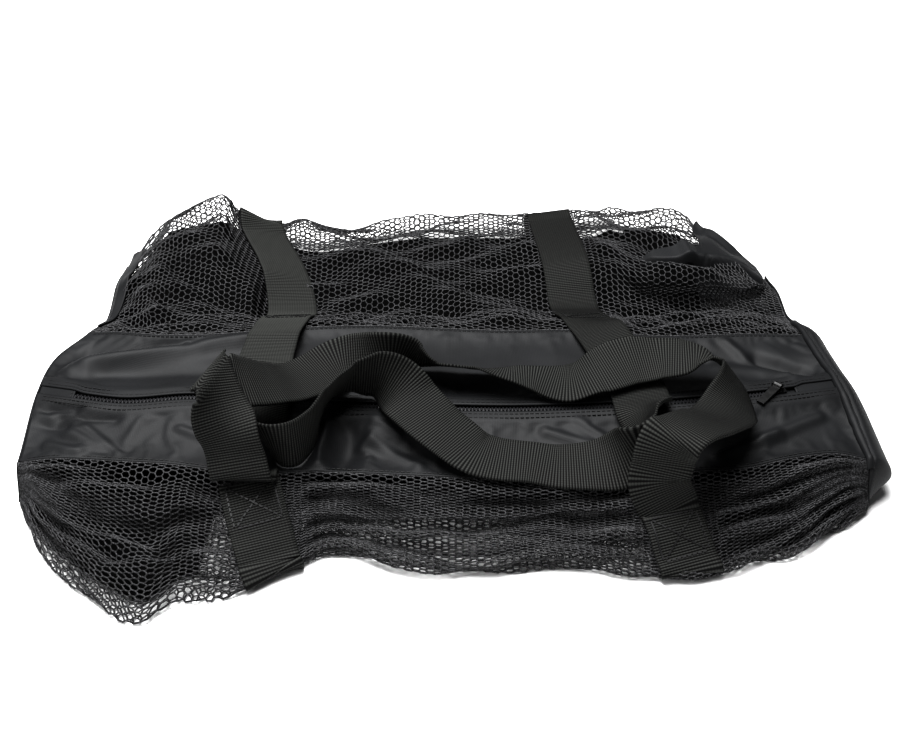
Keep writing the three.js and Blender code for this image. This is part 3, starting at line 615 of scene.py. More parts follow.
# Net panels: black polyester net, knitted with hexagonal holes, sewn to the top and bottom panels.
# Each falls from the seam, folds under at the table and comes back to the edge of the bottom panel.
STRAND = 1.3
NET_CELL = (4.6, 4.3)
NET_FLAT = (LENGTH_FLAT, 228)
SEWN_GAP = 0.4
NOSE = 3.0
SECTION_STEPS = 60
NOSE_STEPS = 10
SECTIONS = 161
EDGE_LAP = 3
HEX_PULL = 1 / 6
YARN_SCATTER = 0.05
SCATTER_SEED = 7
POCKET_LEFT = 130
POCKET_LEFT_RAMP = 30
POCKET_RIGHT = 270
POCKET_RIGHT_RAMP = 25
POCKET_FRONT = 55
POCKET_FRONT_RAMP = 15
POCKET_BACK = 140
POCKET_BACK_RAMP = 40
POCKET_FLOOR = 13
POCKET_RISE = 20
FRONT_RUFFLES = table(
    "along across turn height",
    (2.1, 8.0, 0.3, 1.9),
    (-3.4, 6.2, 1.9, 1.6),
    (5.3, 11.0, 4.1, 1.1),
    (9.0, -3.5, 2.2, 1.0),
    (-14.0, 5.0, 0.8, 0.7),
)
BACK_RUFFLES = table(
    "along across turn height",
    (3.1, 5.2, 0.9, 1.6),
    (-4.4, 7.6, 2.4, 1.4),
    (7.0, -6.2, 5.0, 1.0),
    (2.0, 12.5, 1.2, 0.9),
    (13.0, 4.0, 3.3, 0.7),
)
FRONT_ROWS = table("row place", (0, 0), (0.06, 0.07), (0.6, 0.5), (1, 1))
BACK_ROWS = table("row place", (0, 0), (1, 1))
RUFFLE_END = 0.04
RUFFLE_SEAM = 0.06
STRAP_EASE = 12


def lengths(points):
    """How far along a line of points each of them lies."""
    return np.concatenate(([0], np.cumsum(np.linalg.norm(np.diff(points, axis=0), axis=1))))


def unit(vectors):
    return vectors / np.linalg.norm(vectors, axis=-1, keepdims=True)


def net_section(station, seam, edge, bottom):
    """One line of points across a net panel, evenly spaced from the seam to the bottom panel."""
    side = np.sign(edge - seam)
    y = np.linspace(seam + side * SEWN_GAP, edge - side * NOSE, SECTION_STEPS)
    z = upper(np.full(y.shape, station), y)
    half = (z[-1] - NET_FLOOR) / 2
    turn = np.linspace(math.pi / 2, -math.pi / 2, NOSE_STEPS)[1:]
    y = np.concatenate((y, edge - side * NOSE * (1 - np.cos(turn)), [bottom + side * EDGE_LAP]))
    z = np.concatenate((z, NET_FLOOR + half + half * np.sin(turn), [NET_FLOOR]))
    points = np.stack((lean(station, y), y, z), -1)
    gone = lengths(points)
    even = np.linspace(0, gone[-1], 2 * SECTION_STEPS)
    return np.stack([np.interp(even, gone, points[:, k]) for k in range(3)], -1)


def hung(seam, edge, bottom):
    """A net panel's surface as a fine grid of points, and the unit normals of that surface."""
    places = stations(np.linspace(0, 1, SECTIONS))
    grid = np.stack([net_section(x, seam(x), edge(x), bottom(x)) for x in places])
    return grid, unit(np.cross(np.gradient(grid, axis=0), np.gradient(grid, axis=1)))


def overhung(grid):
    """Tips the crest of the back net at the right end forward over the pocket in front of it."""
    x, y, z = (grid[..., k] for k in range(3))
    part = smooth((x - POCKET_LEFT) / POCKET_LEFT_RAMP) * smooth((POCKET_RIGHT - x) / POCKET_RIGHT_RAMP)
    part *= smooth((y - POCKET_FRONT) / POCKET_FRONT_RAMP) * smooth((POCKET_BACK - y) / POCKET_BACK_RAMP)
    tipped = grid.copy()
    tipped[..., 1] -= OVERHANG * part * smooth((z - POCKET_FLOOR) / POCKET_RISE)
    return tipped


def sample(grid, u, v):
    """Points of a fine grid at shares along and across it, straight between its points."""
    column_at = np.clip(u, 0, 1) * (grid.shape[0] - 1)
    row_at = np.clip(v, 0, 1) * (grid.shape[1] - 1)
    i = np.minimum(column_at.astype(int), grid.shape[0] - 2)
    j = np.minimum(row_at.astype(int), grid.shape[1] - 2)
    a, b = (column_at - i)[:, None], (row_at - j)[:, None]
    near = grid[i, j] * (1 - b) + grid[i, j + 1] * b
    far = grid[i + 1, j] * (1 - b) + grid[i + 1, j + 1] * b
    return near * (1 - a) + far * a


def ruffled(chart, u, v):
    """Height of the soft waves in a panel that has more net than room."""
    height = np.zeros(u.shape)
    for along, across, turn, rise in zip(*(chart[n] for n in ("along", "across", "turn", "height"))):
        height += rise * np.sin(2 * math.pi * (along * u + across * v) + turn)
    return height * smooth(u / RUFFLE_END) * smooth((1 - u) / RUFFLE_END) * smooth(v / RUFFLE_SEAM)


def beside_straps(x, y):
    """0 under the straps, where they hold the net flat, rising to 1 beside them."""
    free = np.ones(x.shape)
    for run in STRAP_RUNS.values():
        free *= smooth((np.abs(x - strap_line(run, y)) - WEBBING_WIDTH / 2) / STRAP_EASE)
    return free


def netting(grid, normals, ruffles, rows):
    """A net of hexagons on a surface: a grid of bricks, its corners pulled to hexagons, left as strands."""
    along, across = (round(flat / size) for flat, size in zip(NET_FLAT, NET_CELL))
    bm = bmesh.new()
    bmesh.ops.create_grid(bm, x_segments=along, y_segments=2 * across, size=0.5)
    gone = []
    corners = np.array([vert.co[:2] for vert in bm.verts]) + 0.5
    cells = np.rint(corners * (along, 2 * across)).astype(int)
    for edge in bm.edges:
        (i, j), (next_i, next_j) = (cells[vert.index] for vert in edge.verts)
        if j == next_j and 0 < j < 2 * across and (min(i, next_i) + j) % 2:
            gone.append(edge)
    pull = np.where(cells.sum(axis=1) % 2, -1, 1) * HEX_PULL
    pull[(cells[:, 0] == 0) | (cells[:, 0] == along)] = 0
    bmesh.ops.dissolve_edges(bm, edges=gone, use_verts=False)
    scatter = np.random.default_rng(SCATTER_SEED).normal(0, YARN_SCATTER, corners.shape)
    u = (cells[:, 0] + pull + scatter[:, 0]) / along
    v = (cells[:, 1] + scatter[:, 1]) / (2 * across)
    v = column(rows, "place", v)
    places = sample(grid, u, v)
    wave = ruffled(ruffles, u, v) * beside_straps(places[:, 0], places[:, 1])
    places += sample(normals, u, v) * wave[:, None]
    places[:, 2] = np.maximum(places[:, 2], STRAND)
    lay(bm, places)
    bm.normal_update()
    bmesh.ops.wireframe(
        bm,
        faces=bm.faces[:],
        thickness=STRAND * MM,
        use_boundary=True,
        use_even_offset=False,
        use_replace=True,
    )
    bmesh.ops.recalc_face_normals(bm, faces=bm.faces[:])
    return bm


# Spun polyester yarn, knitted: dull and a little hairy, so the strands catch only a weak broad light.
YARN_GRAIN = 0.9
net_yarn = blank("knitted_polyester_net")
yarn_place = add(net_yarn, "TexCoord")
yarn_fuzz = add(net_yarn, "TexNoise", Vector=yarn_place.outputs["Object"], Scale=1 / (YARN_GRAIN * MM))
yarn_shades = ((0.4, "#0a0a0b"), (0.68, "#565658"))
yarn_tint = add(net_yarn, "ValToRGB", Fac=yarn_fuzz.outputs["Fac"], stops=yarn_shades)
yarn_bump = add(net_yarn, "Bump", Height=yarn_fuzz.outputs["Fac"], Strength=0.5, Distance=0.3 * MM)
finish(
    net_yarn,
    Base_Color=yarn_tint.outputs["Color"],
    Normal=yarn_bump.outputs["Normal"],
    Roughness=0.6,
    IOR=1.5,
    Specular_IOR_Level=0.35,
)

front_net = hung(front_seam, front_fold, bottom_front)
back_net = hung(back_seam, back_ridge, bottom_back)
back_net = overhung(back_net[0]), back_net[1]
for name, surface, ruffles, rows in (
    ("front", front_net, FRONT_RUFFLES, FRONT_ROWS),
    ("back", back_net, BACK_RUFFLES, BACK_ROWS),
):
    put(name + "_net", netting(*surface, ruffles, rows), net_yarn, nodes=[name + "_net_panel"])

# Top panel: two lengths of the same nylon on either side of the zip, turned under along the zip and
# felled to the net at the other edge. Being slack it is full of soft creases.
ZIP_SLOT = 9
HEM_WIDTH = 8
HEM_RISE = 1.2
HEM_RAMP = 3
HEM_OVER = 2
SEAM_HOLD = 4
CHAIN_LEFT = -252
TAB_RIGHT = 238
TAB_LAP = 6
TAB_RAMP = 8
HALF_COLUMNS = 184
CREASE_FADE = 0.12
END_FADE = 0.03
BUMP_GRID = 64
ROLL_SEED = 5
ROLL_HEIGHT = 0.8
ROLL_SIZE = 24
SLACK_GROWTH = 0.025
SLACK_FRAMES = 24
SLACK_LIMIT = 3
CREASES = table(
    "fromX fromY toX toY width height",
    (-262, -62, -147, -31, 9, 9),
    (-260, -42, -190, -35, 8, -6),
    (-276, -50, -262, -62, 6, -4),
    (-276, -108, -248, -112, 3.5, -4),
    (-274, -120, -252, -127, 4, -4),
    (-258, -118, -222, -122, 4, -3),
    (-250, -132, -228, -146, 5, 3),
    (-240, -128, -214, -152, 2.5, 2.5),
    (-262, -142, -240, -152, 4, 3),
    (-178, -132, -160, -140, 3, 2.5),
    (-70, -160, -66, -135, 9, -6),
    (-84, -165, -80, -130, 5, 4),
    (-52, -140, -20, -165, 4, 3),
    (-50, -128, -34, -138, 3, 2),
    (62, -138, 90, -148, 4, 3),
    (85, -130, 100, -142, 3, 2.5),
    (150, -150, 190, -132, 4, 3),
    (172, -156, 216, -136, 3, 3),
    (205, -140, 250, -118, 4, 3),
    (190, -60, 240, -75, 8, 4),
    (150, -35, 185, -48, 4, 2.5),
    (200, -30, 215, -55, 4, 3),
    (222, -48, 262, -66, 6, -6),
)


def bumps(seed):
    return np.random.default_rng(seed).uniform(-1, 1, (BUMP_GRID, BUMP_GRID))


def rolling(values, x, y, size):
    """Smooth random heights between -1 and 1, whose bumps are about size across."""
    x, y = x / size, y / size
    i, j = np.floor(x).astype(int), np.floor(y).astype(int)
    a, b = smooth(x - i), smooth(y - j)
    i, j, next_i, next_j = (k % BUMP_GRID for k in (i, j, i + 1, j + 1))
    near = values[i, j] * (1 - a) + values[next_i, j] * a
    far = values[i, next_j] * (1 - a) + values[next_i, next_j] * a
    return near * (1 - b) + far * b


def slacken(piece, held, growth, frames, limit):
    """Lets slack cloth buckle in a cloth simulation, with the held points sewn in place."""
    before = np.empty(3 * len(held))
    piece.data.vertices.foreach_get("co", before)
    sewn = piece.vertex_groups.new(name="sewn")
    sewn.add([int(i) for i in np.flatnonzero(held)], 1.0, "REPLACE")
    slack = piece.modifiers.new("slack", "CLOTH")
    slack.settings.vertex_group_mass = "sewn"
    slack.settings.shrink_min = -growth
    slack.settings.quality = 6
    slack.settings.mass = 0.15
    slack.settings.tension_stiffness = 15
    slack.settings.compression_stiffness = 15
    slack.settings.shear_stiffness = 5
    slack.settings.bending_stiffness = 0.08
    slack.settings.effector_weights.gravity = 0.1
    slack.collision_settings.use_collision = False
    slack.point_cache.frame_end = frames
    for step in range(1, frames + 1):
        bpy.context.scene.frame_set(step)
    done = piece.evaluated_get(bpy.context.evaluated_depsgraph_get())
    after = np.empty(3 * len(held))
    done.data.vertices.foreach_get("co", after)
    piece.modifiers.remove(slack)
    bpy.context.scene.frame_set(1)
    move = (after - before).reshape(-1, 3)
    far = np.linalg.norm(move, axis=1, keepdims=True)
    move *= limit * np.tanh(far / limit) / np.maximum(far, 1e-9)
    piece.data.vertices.foreach_set("co", before + move.ravel())


def top_half(from_line, to_line, zip_share):
    """The function that places a half of the top panel, with its creases and its hem along the zip."""

    def place(u, v):
        station = stations(u)
        low, high = from_line(station), to_line(station)
        y = low + (high - low) * v
        to_zip = np.abs(v - zip_share) * (high - low)
        hem = HEM_RISE * (1 - smooth((to_zip - HEM_WIDTH) / HEM_RAMP))
        fade = smooth(v / CREASE_FADE) * smooth((1 - v) / CREASE_FADE)
        fade *= smooth(u / END_FADE) * smooth((1 - u) / END_FADE)
        z = upper(station, y) + hem
        roll = ROLL_HEIGHT * rolling(bumps(ROLL_SEED), station, y, ROLL_SIZE)
        z += fade * (creased(CREASES, station, y) + roll)
        return np.stack((lean(station, y), y, z), -1)

    return place


def slot_front(station):
    return zip_line(station) - ZIP_SLOT / 2


def slot_back(station):
    """The back edge of the slot, which laps over the chain but stands clear of the tabs at its ends."""
    at_end = smooth((CHAIN_LEFT + TAB_LAP - station) / TAB_RAMP) + smooth((station - TAB_RIGHT) / TAB_RAMP)
    return zip_line(station) + HEM_OVER + (ZIP_SLOT / 2 - HEM_OVER) * at_end


for name, rows, flat, place in (
    ("front", 26, 0.075, top_half(lambda x: front_seam(x) + SEWN_GAP, slot_front, 1)),
    ("back", 32, 0.09, top_half(slot_back, lambda x: back_seam(x) - SEWN_GAP, 0)),
):
    bm = cloth(HALF_COLUMNS, rows, place, (LENGTH_FLAT, flat / MM))
    spots = np.array([vert.co[:2] for vert in bm.verts]) / MM - shift
    sewn_lines = (front_seam(spots[:, 0]), back_seam(spots[:, 0]))
    edge = np.abs(spots[:, 1] - zip_line(spots[:, 0])) < ZIP_SLOT / 2 + HEM_WIDTH + HEM_RAMP
    for line in sewn_lines:
        edge |= np.abs(spots[:, 1] - line) < SEAM_HOLD
    edge |= np.array([vert.is_boundary for vert in bm.verts])
    half = put("top_cloth_" + name, bm, nylon, nodes=["top_panel_" + name])
    slacken(half, edge, SLACK_GROWTH, SLACK_FRAMES, SLACK_LIMIT * MM)
    for kind, settings in (
        ("SUBSURF", {"levels": 1, "render_levels": 1}),
        ("SOLIDIFY", {"thickness": NYLON_THICK * MM, "offset": 0}),
    ):
        modifier = half.modifiers.new(kind.lower(), kind)
        for setting, value in settings.items():
            setattr(modifier, setting, value)

# Zip: moulded plastic teeth on a nylon tape that is sewn under the two edges of the slot. A short tab of
# nylon closes the slot past each end of the chain.
TAPE_WIDTH = 24
TAPE_THICK = 0.8
TAPE_DROP = 2.2
CHAIN_RIGHT = 214
TAPE_PAST = 6
TAPE_GRID = (240, 12)
TAB_WIDTH = 16
TAB_GRID = (24, 20)


def zip_strip(start, end, width, height):
    """The function that places a strip of cloth along the zip, at a height from the upper side."""

    def place(u, v):
        station = start + (end - start) * u
        y = zip_line(station) + (v - 0.5) * width
        return np.stack((lean(station, y), y, upper(station, y) + height), -1)

    return place


put(
    "zip_tape_cloth",
    cloth(
        *TAPE_GRID,
        zip_strip(CHAIN_LEFT - TAPE_PAST, TAB_RIGHT + TAPE_PAST, TAPE_WIDTH, -TAPE_DROP),
        (LENGTH_FLAT, TAPE_WIDTH),
    ),
    nylon,
    nodes=["zip_tape"],
    wall=TAPE_THICK,
)
for name, start, end in (
    ("left", LEFT_END + END_INSET, CHAIN_LEFT),
    ("right", TAB_RIGHT, RIGHT_END - END_INSET),
):
    put(
        "zip_tab_cloth_" + name,
        cloth(*TAB_GRID, zip_strip(start, end, TAB_WIDTH, 0), (end - start, TAB_WIDTH)),
        nylon,
        nodes=["zip_tab_" + name],
        wall=NYLON_THICK,
    )

# Acetal teeth, moulded on to the cord of the tape: smooth and hard, with small bright highlights.
TOOTH_PITCH = 2.4
TOOTH_LENGTH = 3.4
TOOTH_RISE = 1.3
TOOTH_ASIDE = 0.8
TOOTH_WEAR = 2.5
CHAIN_FORWARD = 0.8
TOOTH_HEAD = {"wide": 0.8, "high": 2.2}
TOOTH_ROOT = {"wide": 1.15, "high": 1.5}
acetal = blank("moulded_acetal")
tooth_place = add(acetal, "TexCoord")
tooth_wear = add(acetal, "TexNoise", Vector=tooth_place.outputs["Object"], Scale=1 / (TOOTH_WEAR * MM))
tooth_gloss = add(acetal, "MapRange", Value=tooth_wear.outputs["Fac"], To_Min=0.18, To_Max=0.35)
finish(acetal, Base_Color=linear("#29292b"), Roughness=tooth_gloss.outputs[0], IOR=1.48)
bm = bmesh.new()
teeth = int((CHAIN_RIGHT - CHAIN_LEFT) / TOOTH_PITCH * 2)
for i in range(teeth):
    station = CHAIN_LEFT + (i + 0.5) * TOOTH_PITCH / 2
    side = 1 if i % 2 else -1
    y = zip_line(station)
    made = bmesh.ops.create_cube(bm, size=1.0)["verts"]
    z = upper(np.array([station]), np.array([y]))[0] - TAPE_DROP + TOOTH_RISE
    place = np.array([lean(station, y), y - CHAIN_FORWARD + side * TOOTH_ASIDE, z])
    for vert in made:
        end = TOOTH_ROOT if vert.co.y * side > 0 else TOOTH_HEAD
        size = (end["wide"], TOOTH_LENGTH, end["high"])
        vert.co = [(c * s + p + d) * MM for c, s, p, d in zip(vert.co, size, place, (*shift, 0))]
put("zip_teeth", bm, acetal, nodes=["zip_chain"], hard=True)

# Stitches of the top panel: lockstitch in bonded thread, two rows along each edge of the slot, one along
# each seam and one across each tab.
STITCH_PITCH = 3.4
STITCH_LENGTH = 2.3
THREAD = 0.6
HEM_ROWS = (2.6, 6.2)
SEAM_ROW = 2.6
ROW_INSET = 4
ROW_STEPS = 140
TAB_ROW_INSET = 2.0
TAB_ROW_HALF = 4.5
TAB_ROW_STEPS = 5
THREAD_TWIST = 1.1
thread = blank("bonded_thread")
thread_place = add(thread, "TexCoord")
thread_twist = add(thread, "TexNoise", Vector=thread_place.outputs["Object"], Scale=1 / (THREAD_TWIST * MM))
thread_shades = ((0, "#101011"), (1, "#252526"))
thread_tint = add(thread, "ValToRGB", Fac=thread_twist.outputs["Fac"], stops=thread_shades)
finish(thread, Base_Color=thread_tint.outputs["Color"], Roughness=0.5, IOR=1.5, Specular_IOR_Level=0.4)


def sew(bm, path, ups, thick=THREAD):
    """Lays a row of stitches along a path, each a short bar of thread turned to the cloth below it."""
    gone = lengths(path)
    for start in np.arange(STITCH_PITCH / 2, gone[-1] - STITCH_LENGTH, STITCH_PITCH):
        first, last, up = (
            np.array([np.interp(at, gone, chart[:, k]) for k in range(3)])
            for at, chart in ((start, path), (start + STITCH_LENGTH, path), (start, ups))
        )
        along = last - first
        aside = np.cross(up, along)
        aside *= thick / np.linalg.norm(aside)
        up = up * thick / np.linalg.norm(up)
        middle = (first + last) / 2 + (*shift, 0)
        bar = Matrix(np.vstack((np.column_stack((along, aside, up, middle)) * MM, (0, 0, 0, 1))))
        bmesh.ops.create_cube(bm, size=1.0, matrix=bar)


def sew_flat(bm, station, y, height=0):
    """Lays a row of upright stitches over the top panel, a height above its upper side."""
    z = upper(station, y) + height + NYLON_THICK / 2
    sew(bm, np.stack((lean(station, y), y, z), -1), np.tile((0.0, 0, 1), (len(y), 1)))


bm = bmesh.new()
along = np.linspace(LEFT_END + ROW_INSET, RIGHT_END - ROW_INSET, ROW_STEPS)
for row in HEM_ROWS:
    sew_flat(bm, along, slot_back(along) + row, HEM_RISE)
    sew_flat(bm, along, slot_front(along) - row, HEM_RISE)
sew_flat(bm, along, back_seam(along) - SEAM_ROW)
sew_flat(bm, along, front_seam(along) + SEAM_ROW)
for station in (CHAIN_LEFT - TAB_ROW_INSET, TAB_RIGHT + TAB_ROW_INSET):
    across = zip_line(station) + np.linspace(-TAB_ROW_HALF, TAB_ROW_HALF, TAB_ROW_STEPS)
    sew_flat(bm, np.full(TAB_ROW_STEPS, station), across)
put("top_stitches", bm, thread, hard=True)

# Piping: the seam round the right end is felled and piped with a scrunched roll of the same nylon, which
# shows along the edge of the top panel.
PIPE_FRONT = -160
PIPE_BACK = 6
PIPE_RADIUS = 2.6
PIPE_OUT = 1.5
PIPE_UP = 1.2
PIPE_GRID = (160, 14)
PIPE_GIRTH = 16
PIPE_TURN = 20
PIPE_SWELLS = table("seed size height", (9, 17, 0.25), (11, 6, 0.15))
WANDER = 1.2
WANDER_SIZE = 30
WANDER_SEED = 3


def end_pipe(u, v):
    """A point of the piping: u runs from front to back, v round the roll."""
    y = PIPE_FRONT + (PIPE_BACK - PIPE_FRONT) * u
    x = np.full(y.shape, float(RIGHT_END))
    swell = 1
    for seed, size, height in zip(*(PIPE_SWELLS[name] for name in ("seed", "size", "height"))):
        swell = swell + height * rolling(bumps(int(seed)), y, v * PIPE_TURN, size)
    angle = 2 * math.pi * v
    wander = WANDER * rolling(bumps(WANDER_SEED), y, 0 * y, WANDER_SIZE)
    aside = PIPE_RADIUS * swell * np.cos(angle) + wander
    rise = PIPE_RADIUS * swell * np.sin(angle)
    return np.stack((lean(x, y) + PIPE_OUT + aside, y, upper(x, y) + PIPE_UP + rise), -1)


put("end_piping", cloth(*PIPE_GRID, end_pipe, (PIPE_BACK - PIPE_FRONT, PIPE_GIRTH)), nylon)

# Straps: two lengths of ribbed webbing. Each comes from under the bag, lies up the net to the seam of
# the top panel, where it is sewn, and goes on as a free carrying handle that lies fallen over the bag.
RIB_PITCH = 1.65
RIB_HEIGHT = 0.12
RIB_STEP = 0.55
BOX_START = 3
BOX_LENGTH = 27
BOX_HALF = 15
STRAP_THREAD = 1.0
STRAP_LIFT = 2.4
HANDLE_LIFT = 2.1
CHAIN_LIFT = 2.4
CHAIN_HALF = 11
LIFT_REACH = 30
LIFT_SPREAD = 14
FEELERS = 7
BAND_ROWS = 14
BOX_STEPS = 24
RUN_START = 9
RUN_END = 0.4
RUN_STEPS = 12
LEG_STEPS = 14
BAND_HALF = WEBBING_THICK / 2 + RIB_HEIGHT
FRONT_HANDLE = table(
    "x y z turn rise slant",
    (-128, -190, 48, -4, 2, 0),
    (-131, -184, 61, -8, 8, 0),
    (-134, -180, 72, -6, 10, 0),
    (-137, -175, 81, 14, -4, 0),
    (-140, -168, 90, 45, -14, 0.6),
    (-142, -162, 97, 68, -8, 1),
    (-144, -157, 102, 75, -5, 1),
    (-147, -153.5, 103.5, 75, -5, 1),
    (-148.5, -150, 99.5, 75, -5, 1),
    (-145, -147.5, 93, 76, -3, 1),
    (-137, -142, 87, 84, 12, 0.5),
    (-126, -134, 80, 94, 8, 0),
    (-114, -123, 71, 101, 0, 0),
    (-102, -110, 62, 108, 0, 0),
    (-88, -96, 58, 105, 10, 0),
    (-74, -86, 58, 108, 32, 0),
    (-55, -87, 61, 102, 62, 0),
    (-40, -86, 63, 98, 88, 0),
    (-24, -81, 58, -88, 60, 0),
    (-9, -82.5, 55, -90, 40, 0),
    (4, -85, 55, -90, 37, 0),
    (20, -87, 53, -92, 37, 0),
    (40, -90, 53, -102, 24, 0),
    (58, -92, 50.5, -104, 12, 0),
    (81, -97, 50.5, -109, -6, 0),
    (100, -94, 57.5, -111, -17, 0),
    (121, -87, 61.5, -106, -19, 0),
    (141, -84, 61.5, -97, -10, 0),
    (157, -86, 64, -98, -3, 0),
    (170, -88, 66, -100, 18, 0),
    (180, -93, 65, -112, 40, 0),
    (188, -103, 63, -136, 50, 0),
    (188, -117, 61, -154, 42, 0),
    (182, -134, 61, -168, 22, 0),
    (170, -153, 66, 160, 3, 0),
    (158, -167, 74, 146, 0, 0),
    (144, -179, 79, 144, -3, 0),
    (135, -186, 78, 150, -2, 0),
    (131, -188, 70, 164, 0, 0),
    (129.5, -189, 58, 175, 0, 0),
    (128, -193, 46, 180, 0, 0),
)
BACK_HANDLE = table(
    "x y z turn rise",
    (-126, -25, 44.5, -12, 6),
    (-129, -62, 46, -15, 0),
    (-127, -85, 45.5, -10, 0),
    (-125, -103, 47, -8, 0),
    (-125, -130, 50, 4, -20),
    (-122, -152, 54, 40, -54),
    (-116, -165, 56, 64, -72),
    (-108, -170, 57, 76, -81),
    (-97, -168, 57, 90, -87),
    (-89, -158, 58, 118, -84),
    (-85, -148, 60, 120, -78),
    (-82, -136, 62, 110, -64),
    (-79, -129, 64, 110, -58),
    (-74, -121, 66, 111, -57),
    (-66, -114, 67, 114, -62),
    (-57, -112, 67, 124, -74),
    (-46, -110, 66, -170, -80),
    (-34, -116, 62, -125, -48),
    (-24, -126, 57, -115, -20),
    (-9, -142, 52, -111, -10),
    (3, -152, 48, -108, -8),
    (15, -161, 44.5, -106, -4),
    (28, -165, 42.5, -103, -2),
    (51, -168, 41, -92, 0),
    (69, -171, 41, -90, -3),
    (93, -172, 43, -88, -15),
    (108, -172, 48, -80, -45),
    (118, -170, 53.5, -30, -85),
    (123, -161, 55, 100, -65),
    (125, -150, 56, 105, -46),
    (127, -133, 54, 130, -32),
    (127, -116, 50, 148, -10),
    (125, -89, 47, 170, -5),
    (120, -66, 45.5, -165, 0),
    (116, -48, 44.5, -150, -3),
    (110, -27, 43.5, -155, -5),
)


def leg(surface, side, line, run, first):
    """Middles and across-lines of a strap from the seam of the top panel down the net and under the bag."""
    grid, normals = surface
    edge_x = run[0] if side < 0 else run[1]
    nose = np.argmax(side * grid[SECTIONS // 2][:, 1])
    down = np.linspace(first, 1, LEG_STEPS) * nose / (grid.shape[1] - 1)
    x = column(line, "x", down / down[-1])
    u = (x - LEFT_END) / (RIGHT_END - LEFT_END)
    half = WEBBING_WIDTH / 2 / (RIGHT_END - LEFT_END)
    left, right = sample(grid, u - half, down), sample(grid, u + half, down)
    normal = sample(normals, u, down) * side
    middle = (left + right) / 2 + normal * np.sign(normal[:, 2:].mean()) * STRAP_LIFT
    across = right - left
    start = front_fold(edge_x) + RUN_START if side < 0 else back_ridge(edge_x) - RUN_START
    y = np.linspace(start, side * RUN_END, RUN_STEPS)
    flat = np.stack((strap_line(run, y), y, np.full(RUN_STEPS, BAND_HALF)), -1)
    middle = np.concatenate((middle, flat))
    across = np.concatenate((across, np.tile((1.0, 0, 0), (RUN_STEPS, 1))))
    middle[:, 2] = np.maximum(middle[:, 2], BAND_HALF)
    return middle, unit(across)


def strap(surface, side, left_leg, right_leg, handle):
    """The whole route of a strap as a chart along its length: its middle and the line across it."""
    left = leg(surface, side, left_leg[0], STRAP_RUNS["left"], left_leg[1])
    right = leg(surface, side, right_leg[0], STRAP_RUNS["right"], right_leg[1])
    turn, rise = np.radians(handle["turn"]), np.radians(handle["rise"])
    free = np.stack((handle["x"], handle["y"], handle["z"]), -1)
    free_across = np.stack((np.cos(rise) * np.cos(turn), np.cos(rise) * np.sin(turn), np.sin(rise)), -1)
    middles = np.concatenate((left[0][::-1], free, right[0]))
    acrosses = np.concatenate((left[1][::-1], free_across, -right[1]))
    gone = lengths(middles)
    start, end = len(left[0]), len(left[0]) + len(free)
    slants = np.zeros(len(middles))
    slants[start:end] = handle.get("slant", 0)
    rows = np.column_stack((gone, middles, acrosses, slants))
    route = table("s x y z acrossX acrossY acrossZ slant", *rows)
    route["seams"] = gone[start - 1], gone[end]
    return route


graph = bpy.context.evaluated_depsgraph_get()
nylon_lies = [BVHTree.FromObject(bpy.data.objects["top_cloth_" + name], graph) for name in ("front", "back")]


def resting(x, y):
    """Height of the nylon as it lies, at each point of a line over the top panel."""
    found = np.zeros(x.shape)
    for surface in nylon_lies:
        for i, (at_x, at_y) in enumerate(zip(x + shift[0], y + shift[1])):
            hit = surface.ray_cast((at_x * MM, at_y * MM, 1), (0, 0, -1))[0]
            if hit:
                found[i] = max(found[i], hit.z / MM)
    return found


